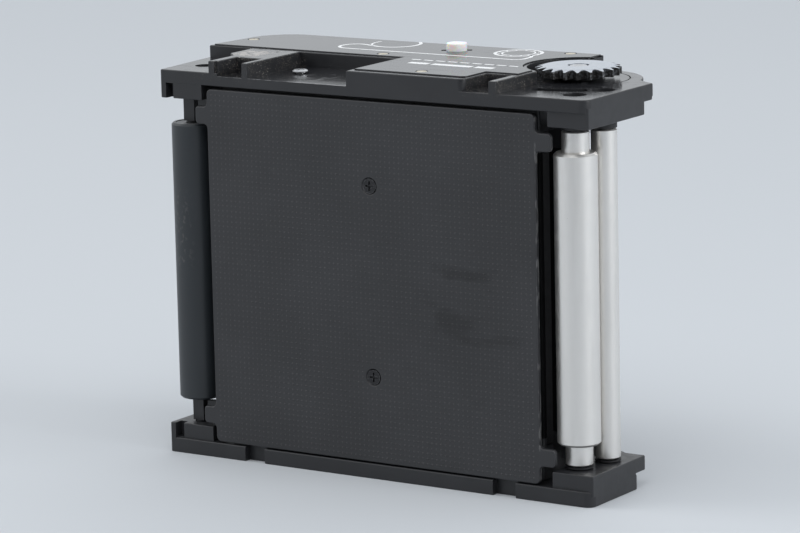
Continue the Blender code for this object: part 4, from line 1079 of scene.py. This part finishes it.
def rollers():
    low, high = METERING_THICK
    step = 0.5
    profile = [
        (AXLE_R + GAP, ROLLER_LOW),
        (THIN_R - EDGE, ROLLER_LOW),
        (THIN_R, ROLLER_LOW + EDGE),
        (THIN_R, low),
        (THICK_R - step, low),
        (THICK_R, low + step),
        (THICK_R, high - step),
        (THICK_R - step, high),
        (THIN_R, high),
        (THIN_R, ROLLER_HIGH - EDGE),
        (THIN_R - EDGE, ROLLER_HIGH),
        (AXLE_R + GAP, ROLLER_HIGH),
    ]
    metering = turned("metering_roller", profile, METERING, 24, tube=True)
    keep(metering, "silver_roller")
    guide = sleeve("guide_roller", GUIDE, GUIDE_R, AXLE_R + GAP, ROLLER_LOW, GUIDE_HIGH)
    keep(guide, "silver_roller")
    low, high = IDLER_SPAN
    rim, recess, bore = IDLER_R - 0.9, 0.12, IDLER_AXLE_R + GAP
    profile = [
        (bore, low + recess),
        (rim, low + recess),
        (rim, low),
        (IDLER_R - 0.4, low),
        (IDLER_R, low + 0.4),
        (IDLER_R, high - 0.4),
        (IDLER_R - 0.4, high),
        (rim, high),
        (rim, high - recess),
        (bore, high - recess),
    ]
    idler = turned("idler_roller", profile, IDLER, 24, tube=True)
    keep(idler, "black_roller")


def axles_and_washers():
    silver = (("metering", METERING, THIN_R, ROLLER_HIGH), ("guide", GUIDE, GUIDE_R, GUIDE_HIGH))
    for name, centre, radius, top in silver:
        axle = rod(name + "_axle", centre, AXLE_R, AXLE_LOW, AXLE_HIGH)
        keep(axle, "steel")
        spans = {
            "lower": (BASE_BLOCK_TOP + WASHER_GAP, ROLLER_LOW - WASHER_GAP),
            "upper": (top + WASHER_GAP, DRIVE_BLOCK_LOW - WASHER_GAP),
        }
        for place, span in spans.items():
            washer = sleeve(f"{name}_washer_{place}", centre, radius, AXLE_R + GAP, *span, 0.0, 16)
            keep(washer, "black_bush")
    axle = rod("idler_axle", IDLER, IDLER_AXLE_R, AXLE_LOW, AXLE_HIGH, steps=20)
    x, y = IDLER
    square = rectangle((x - IDLER_POST, x + IDLER_POST), (y - IDLER_POST, y + IDLER_POST))
    for low, high in ((BASE_BLOCK_TOP, IDLER_SPAN[0]), (IDLER_SPAN[1], DRIVE_BLOCK_LOW)):
        join(axle, slab("idler_post", square, low + GAP, high - GAP))
    keep(axle, "black_casting")


# ---------------- pressure plate

def plate_outline_front():
    """The pressure plate seen from the film side, as (x, z), with an ear near each corner."""
    sides = []
    for x, ear_x in ((PLATE_RIGHT, EAR_X), (PLATE_LEFT, -EAR_X)):
        side = [(x, PLATE_LOW)]
        for low, high in EARS:
            side.extend([(x, low), (ear_x, low), (ear_x, high), (x, high)])
        side.append((x, PLATE_HIGH))
        sides.append(side)
    radii = [1.2, 1.0, 0.8, 0.8, 1.0, 1.0, 0.8, 0.8, 1.0, 1.2]
    both = radii + radii[::-1]
    return rounded(sides[0] + sides[1][::-1], dict(enumerate(both)), 3)


def pressure_plate():
    back = PLATE_FRONT + PLATE_THICK
    thing = upright("pressure_plate", plate_outline_front(), PLATE_FRONT, back, 0.3)
    face = -PLATE_FRONT
    profile = [(1.95, face + 1.0), (1.95, face - 0.1), (1.3, face - 0.75), (1.3, face - PLATE_THICK - 1.0)]
    for height in SCREW_HEIGHTS.values():
        cut(thing, turned("plate_sink", profile, (0.0, 0.0, height), 20, along="-Y"))
    keep(thing, "black_plate")


def plate_hardware():
    """The two screws through the pressure plate, the posts that guide it, their clips and their springs."""
    face, start = -PLATE_FRONT - 0.15, -PLATE_FRONT - PLATE_THICK - GAP
    screw_profile = [(1.6, face), (1.0, face - 0.6), (1.0, face - 7.0)]
    post_profile = [
        (POST_BORE_R, start),
        (POST_R, start),
        (POST_R, CLIP_GROOVE[1]),
        (CLIP_GROOVE_R, CLIP_GROOVE[1]),
        (CLIP_GROOVE_R, CLIP_GROOVE[0]),
        (POST_R, CLIP_GROOVE[0]),
        (POST_R, POST_END),
        (POST_BORE_R, POST_END),
    ]
    bore = CLIP_GROOVE_R + GAP
    clip_profile = [(bore, CLIP[1]), (CLIP_R, CLIP[1]), (CLIP_R, CLIP[0]), (bore, CLIP[0])]
    for place, height in SCREW_HEIGHTS.items():
        centre = (0.0, 0.0, height)
        thing = turned(f"plate_screw_{place}", screw_profile, centre, 16, along="-Y")
        cross(thing, (0.0, height), 1.05, 0.24, PLATE_FRONT - 1.0, PLATE_FRONT + 0.55, upright)
        keep(thing, "black_screw")
        for name, profile in (("plate_post", post_profile), ("post_clip", clip_profile)):
            keep(turned(f"{name}_{place}", profile, centre, 16, tube=True, along="-Y"), "steel")
        spring = coil_spring(f"plate_spring_{place}", centre, 3.6, 0.25, *PLATE_SPRING, 1.5)
        spring.rotation_euler = (math.pi / 2, 0.0, 0.0)
        ends = [(0.0, -end, height) for end in PLATE_SPRING]
        press_spring(keep(spring, "steel"), "pressure_plate_press", *ends)


def coil_spring(name, centre, radius, wire, low, high, turns):
    """A helix of round wire about the Z axis through the centre, between two heights."""
    per_turn = 20
    count = int(turns * per_turn)
    curve = bpy.data.curves.new(name, "CURVE")
    curve.dimensions = "3D"
    line = curve.splines.new("POLY")
    line.points.add(count)
    for i, point in enumerate(line.points):
        turn = math.tau * i / per_turn
        height = low + wire + (high - low - 2 * wire) * i / count
        point.co = (radius * math.cos(turn) * MM, radius * math.sin(turn) * MM, height * MM, 1.0)
    curve.bevel_depth = wire * MM
    curve.bevel_resolution = 3
    curve.use_fill_caps = True
    thing = draft(name, curve)
    thing.location = Vector(centre).to_3d() * MM
    return thing


def upright_spring(name, joint, centre, radius, wire, low, high):
    """A spring that stands between two heights."""
    spring = coil_spring(name, centre, radius, wire, low, high, 2.5)
    press_spring(keep(spring, "steel"), joint, (*centre, low), (*centre, high))


def press_spring(piece, joint, fixed, free):
    """Gives the spring's piece a mesh of its own."""
    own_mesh(piece)


# ---------------- take-up gear and spool keys

def gear_outline():
    """Teeth with narrow tips and U-shaped valleys, as points about the take-up axis."""
    points = []
    pitch = 360.0 / GEAR_TEETH
    tip_half, steps = 0.07, 8
    for i in range(GEAR_TEETH):
        for k in range(steps + 1):
            across = 2.0 * k / steps - 1.0
            radius = GEAR_ROOT_R + (GEAR_TIP_R - GEAR_ROOT_R) * across * across
            turn = math.radians(FIRST_TOOTH + pitch * (i + 0.5 + (0.5 - tip_half) * across))
            points.append((TAKE_UP[0] + radius * math.cos(turn), TAKE_UP[1] + radius * math.sin(turn)))
    return points


def take_up_gear():
    thing = slab("take_up_gear", gear_outline(), GEAR_LOW, GEAR_TOP)
    root, rim = GEAR_ROOT_R - 0.1, GEAR_TIP_R + 1.0
    drop = TOOTH_BEVEL * (rim - GEAR_ROOT_R) / (GEAR_TIP_R - GEAR_ROOT_R)
    bevel = [(root, GEAR_TOP), (rim, GEAR_TOP - drop), (rim, GEAR_TOP + 1.0), (root, GEAR_TOP + 1.0)]
    cut(thing, turned("tooth_bevel", bevel, TAKE_UP, 40, tube=True))
    hole(thing, TAKE_UP, SHAFT_R + GAP, GEAR_LOW - 1.0, GEAR_TOP + 1.0, 20)
    keep(thing, "gear_steel")


def spool_key(name, centre, shaft_top):
    """A shaft with a collar under the drive plate and a blade that turns the spool."""
    profile = [
        (COLLAR_R - COLLAR_EDGE, SPOOL_HIGH + 0.4),
        (COLLAR_R, SPOOL_HIGH + 0.4 + COLLAR_EDGE),
        (COLLAR_R, COLLAR_TOP - COLLAR_EDGE),
        (COLLAR_R - COLLAR_EDGE, COLLAR_TOP),
        (SHAFT_R, COLLAR_TOP),
        (SHAFT_R, shaft_top - 0.2),
        (SHAFT_R - 0.2, shaft_top),
    ]
    thing = turned(name, profile, centre, 20)
    x, y = centre
    nose = cylinder(name + "_nose", centre, NOSE_R, SPOOL_HIGH - 0.4, SPOOL_HIGH + 1.0, 16)
    outline = rectangle((x - BLADE_REACH, x + BLADE_REACH), (y - BLADE_THIN, y + BLADE_THIN))
    blade = slab(name + "_blade", outline, *BLADE, 0.2, 0.0)
    join(thing, nose, blade)
    keep(thing, "steel")


def bushing(name, centre, top):
    profile = [
        (SHAFT_R + GAP, BUSHING_LOW),
        (BUSHING_FLANGE_R, BUSHING_LOW),
        (BUSHING_FLANGE_R, DRIVE_LOW - GAP),
        (BUSHING_R, DRIVE_LOW - GAP),
        (BUSHING_R, top),
        (SHAFT_R + GAP, top),
    ]
    keep(turned(name, profile, centre, 20, tube=True), "black_bush")


def spool_drive():
    take_up_gear()
    spool_key("take_up_key", TAKE_UP, GEAR_TOP - 0.1)
    spool_key("supply_key", SUPPLY, SHELF_TOP - 0.1)
    bushing("take_up_bushing", TAKE_UP, SHELF_TOP + 0.4)
    bushing("supply_bushing", SUPPLY, SHELF_TOP)
    radii = (FRICTION_WASHER_R, SHAFT_R + GAP)
    for name, centre in (("take_up", TAKE_UP), ("supply", SUPPLY)):
        keep(sleeve(name + "_friction_washer", centre, *radii, *FRICTION_WASHER, 0.0, 16), "steel")


# ---------------- sprung spool studs and sensing pin

def spool_stud(name, centre):
    """The lower spool centre: a shouldered plunger in a cup on the base plate, with its spring under it."""
    profile = [
        (STUD_R - STUD_EDGE, STUD_LOW),
        (STUD_R, STUD_LOW + STUD_EDGE),
        (STUD_R, STUD_SHOULDER - STUD_EDGE),
        (STUD_R - STUD_EDGE, STUD_SHOULDER),
        (STUD_NECK_R, STUD_SHOULDER),
        (STUD_NECK_R, 12.2),
        (1.8, 13.0),
        (0.0, 13.3),
    ]
    keep(turned(f"{name}_stud", profile, centre, 20), "steel")
    cup = sleeve(f"{name}_stud_cup", centre, CUP_R, STUD_R + GAP, BASE_TOP + GAP, CUP_TOP, 0.4)
    keep(cup, "black_bush")
    span = (BASE_TOP + 0.3, STUD_LOW - GAP)
    upright_spring(f"{name}_stud_spring", f"{name}_stud_press", centre, 3.0, 0.35, *span)


def sensing_pin():
    """The white pin that stands out of the label, held up by a spring and kept in by a clip."""
    profile = [
        (PIN_STEM_R, PIN_LOW),
        (PIN_STEM_R, PIN_SHOULDER),
        (PIN_R, PIN_SHOULDER),
        (PIN_R, PIN_TOP - PIN_EDGE),
        (PIN_R - PIN_EDGE, PIN_TOP),
    ]
    keep(turned("sensing_pin", profile, SENSOR, 24), "white_plastic")
    clip = sleeve("pin_clip", SENSOR, PIN_CLIP_R, PIN_STEM_R + GAP, *PIN_CLIP, 0.0, 14)
    keep(clip, "steel")
    span = (PIN_SEAT + 0.2, PIN_SHOULDER - 0.2)
    upright_spring("pin_spring", "sensing_pin_press", SENSOR, 1.85, 0.18, *span)


# ---------------- film leaves

def leaf_hinge(centre):
    """The lugs of the film frame that hold a leaf's pin, one above and one below the leaf."""
    x, y = centre
    inner = FRAME_RIGHT if x > 0.0 else FRAME_LEFT
    way = 1.0 if x > 0.0 else -1.0
    x_span = sorted((inner - way * 0.5, x + way * LUG_REACH))
    outline = rectangle(x_span, (y - LUG_REACH, y + LUG_REACH))
    low, high = LEAF_SPAN
    return [
        slab("leaf_lug_low", outline, low - GAP - LUG_THICK, low - GAP),
        slab("leaf_lug_high", outline, high + GAP, high + GAP + LUG_THICK),
    ]


def film_leaf(name, centre):
    """A sprung leaf that keeps the film roll tight: an eye on a pin, and a curved blade."""
    x, y = centre
    way = 1.0 if x > 0.0 else -1.0
    steps = 6
    near, far = [], []
    for i in range(steps + 1):
        share = i / steps
        out = EYE_R - 0.2 + (LEAF_REACH - EYE_R) * share
        rise = LEAF_RISE * math.sin(share * math.pi / 2.0)
        near.append((x + way * out, y + rise - LEAF_THIN))
        far.append((x + way * out, y + rise + LEAF_THIN))
    outline = near + far[::-1]
    if way < 0.0:
        outline = outline[::-1]
    low, high = LEAF_SPAN
    thing = sleeve(name, centre, EYE_R, PIN_HOLE_R, low, high, 0.0, 14)
    join(thing, slab(name + "_blade", outline, low + 0.1, high - 0.1))
    keep(thing, "black_screw")
    pin = cylinder(name + "_pin", centre, PIN_HOLE_R - 0.2, low, high, 12)
    keep(pin, "steel")


# ---------------- print on the label

def ribbon(builder, points, width, closed=False):
    """A flat printed line of the width along the points, as a thin closed solid on the label."""
    low, high = LABEL_TOP - 0.01, LABEL_TOP + PRINT_THICK
    count = len(points)
    rings = []
    for i, (x, y) in enumerate(points):
        before = Vector(points[i - 1] if closed or i > 0 else (x, y))
        after = Vector(points[(i + 1) % count] if closed or i < count - 1 else (x, y))
        along = (after - before).normalized()
        side = Vector((-along.y, along.x)) * (width / 2.0)
        corners = ((side, low), (-side, low), (-side, high), (side, high))
        rings.append([(x + offset.x, y + offset.y, height) for offset, height in corners])
    skin(builder, rings, closed)


def bars(builder, spans, y, width):
    """A row of plain bars, each over a span of x."""
    for x_span in spans:
        ribbon(builder, [(x, y) for x in x_span], width)


def label_print():
    """The loading diagram: the film's path between two spools, with plain bars in place of any lettering."""
    builder = bmesh.new()
    spool = arc(SPOOL_MARK, SPOOL_MARK_R, 52.0, -108.0, 14)
    bend = arc((-23.2, 9.3), 3.5, 96.0, 270.0, 10)
    end = arc((19.0, 7.9), 2.1, -90.0, 0.0, 5)
    hook = arc((16.9, 9.5), 4.2, 0.0, 62.0, 6)
    ribbon(builder, spool + bend + end + hook, 0.75)
    ribbon(builder, arc(SPOOL_MARK, SPOOL_MARK_R, 160.0, 235.0, 8), 0.45)
    ribbon(builder, arc(RING_MARK, RING_MARK_R, 0.0, 360.0, 20)[:-1], 0.7, closed=True)
    ribbon(builder, arc(RING_MARK, RING_MARK_BORE_R, 0.0, 360.0, 14)[:-1], 0.4, closed=True)
    for i in range(RING_DASHES):
        turn = math.radians(360.0 / RING_DASHES * i + FIRST_DASH)
        x, y = math.cos(turn), math.sin(turn)
        ribbon(builder, [(RING_MARK[0] + r * x, RING_MARK[1] + r * y) for r in RING_DASH_SPAN], 0.45)
    bars(builder, TITLE_BARS, TITLE_Y, TITLE_WIDTH)
    starts = [DASH_START + DASH_PITCH * i for i in range(DASHES)]
    bars(builder, [(start, start + DASH_LENGTH) for start in starts], DASH_Y, 0.8)
    add_piece("label_print", mesh_of("label_print", builder), "label_plate", "print")


# ---------------- dots of the pressure plate

def plate_dots():
    """The fine grid of raised dots that the film's backing paper slides on, clear of the edges and screws."""
    builder = bmesh.new()
    across, middle = (PLATE_LEFT + PLATE_RIGHT) / 2.0, (PLATE_LOW + PLATE_HIGH) / 2.0
    turns = [math.tau * k / DOT_SIDES for k in range(DOT_SIDES)]
    levels = ((DOT_R, PLATE_FRONT + DOT_SUNK), (DOT_R, PLATE_FRONT), (DOT_TOP_R, PLATE_FRONT - DOT_HIGH))
    for i in range(DOT_COLUMNS):
        x = across + (i - (DOT_COLUMNS - 1) / 2.0) * DOT_PITCH
        for j in range(DOT_ROWS):
            z = middle + (j - (DOT_ROWS - 1) / 2.0) * DOT_PITCH
            if all(math.hypot(x, z - height) >= DOT_FREE_R for height in SCREW_HEIGHTS.values()):
                dot = [[(x + r * math.cos(t), y, z + r * math.sin(t)) for t in turns] for r, y in levels]
                skin(builder, dot)
    dots = mesh_of("pressure_plate_dots", builder)
    smooth(add_piece("pressure_plate_dots", dots, "pressure_plate", "plate_dots"), 80.0)


# ---------------- studio

def studio():
    """A pale seamless floor, a light tent's even light, and four soft lights round the insert."""
    mesh = bpy.data.meshes.new("floor")
    corners = rectangle((-FLOOR, FLOOR), (-FLOOR, FLOOR))
    mesh.from_pydata([(x, y, 0.0) for x, y in corners], [], [range(4)])
    f = Finish("floor_paper", (0.55, 0.575, 0.605), 0.9)
    f.tint(f.cloud(400.0, 2.0, 0.3, 0.7, 0.0, 0.3), (0.57, 0.595, 0.625))
    mesh.materials.append(f.done())
    linked("floor", mesh)
    tent_world()
    for name, (place, size, power, colour) in LIGHTS.items():
        data = bpy.data.lights.new(name, "AREA")
        data.energy = power
        data.size = size
        data.color = colour
        light = linked(name, data)
        light.location = place
        light.rotation_euler = (LIT_POINT - light.location).to_track_quat("-Z", "Y").to_euler()


def tent_world():
    """Even, slightly blue light from all round, dimmer from the open front of the tent."""
    world = bpy.data.worlds.new("tent")
    bpy.context.scene.world = world
    world.use_nodes = True
    tree = world.node_tree
    towards = tree.nodes.new("ShaderNodeVectorMath")
    towards.operation = "DOT_PRODUCT"
    towards.inputs[1].default_value = TENT_FRONT
    tree.links.new(tree.nodes.new("ShaderNodeTexCoord").outputs["Generated"], towards.inputs[0])
    share = tree.nodes.new("ShaderNodeMapRange")
    share.interpolation_type = "SMOOTHSTEP"
    for name, value in TENT_SPAN.items():
        share.inputs[name].default_value = value
    tree.links.new(towards.outputs["Value"], share.inputs["Value"])
    background = tree.nodes["Background"]
    background.inputs["Color"].default_value = (*TENT_COLOUR, 1.0)
    tree.links.new(share.outputs["Result"], background.inputs["Strength"])


def camera():
    """A long lens from the front right, a little above the insert."""
    data = bpy.data.cameras.new("camera")
    data.lens = LENS
    data.sensor_width = SENSOR_WIDTH
    data.clip_start = NEAREST
    right = Vector(CAMERA_RIGHT).normalized()
    forward = Vector(CAMERA_VIEW)
    forward = (forward - right * forward.dot(right)).normalized()
    up = right.cross(forward)
    turn = Matrix((right, up, -forward)).transposed().to_4x4()
    thing = linked("camera", data)
    thing.matrix_world = Matrix.Translation(CAMERA_PLACE) @ turn
    bpy.context.scene.camera = thing
    bpy.context.scene.view_settings.view_transform = "Standard"


def main():
    base_plate()
    drive_plate()
    label_plate()
    film_frame()
    frame_screws()
    label_screws()
    rollers()
    axles_and_washers()
    pressure_plate()
    plate_hardware()
    spool_drive()
    spool_stud("take_up", TAKE_UP)
    spool_stud("supply", SUPPLY)
    sensing_pin()
    film_leaf("take_up_leaf", TAKE_UP_LEAF)
    film_leaf("supply_leaf", SUPPLY_LEAF)
    label_print()
    plate_dots()


main()
studio()
camera()
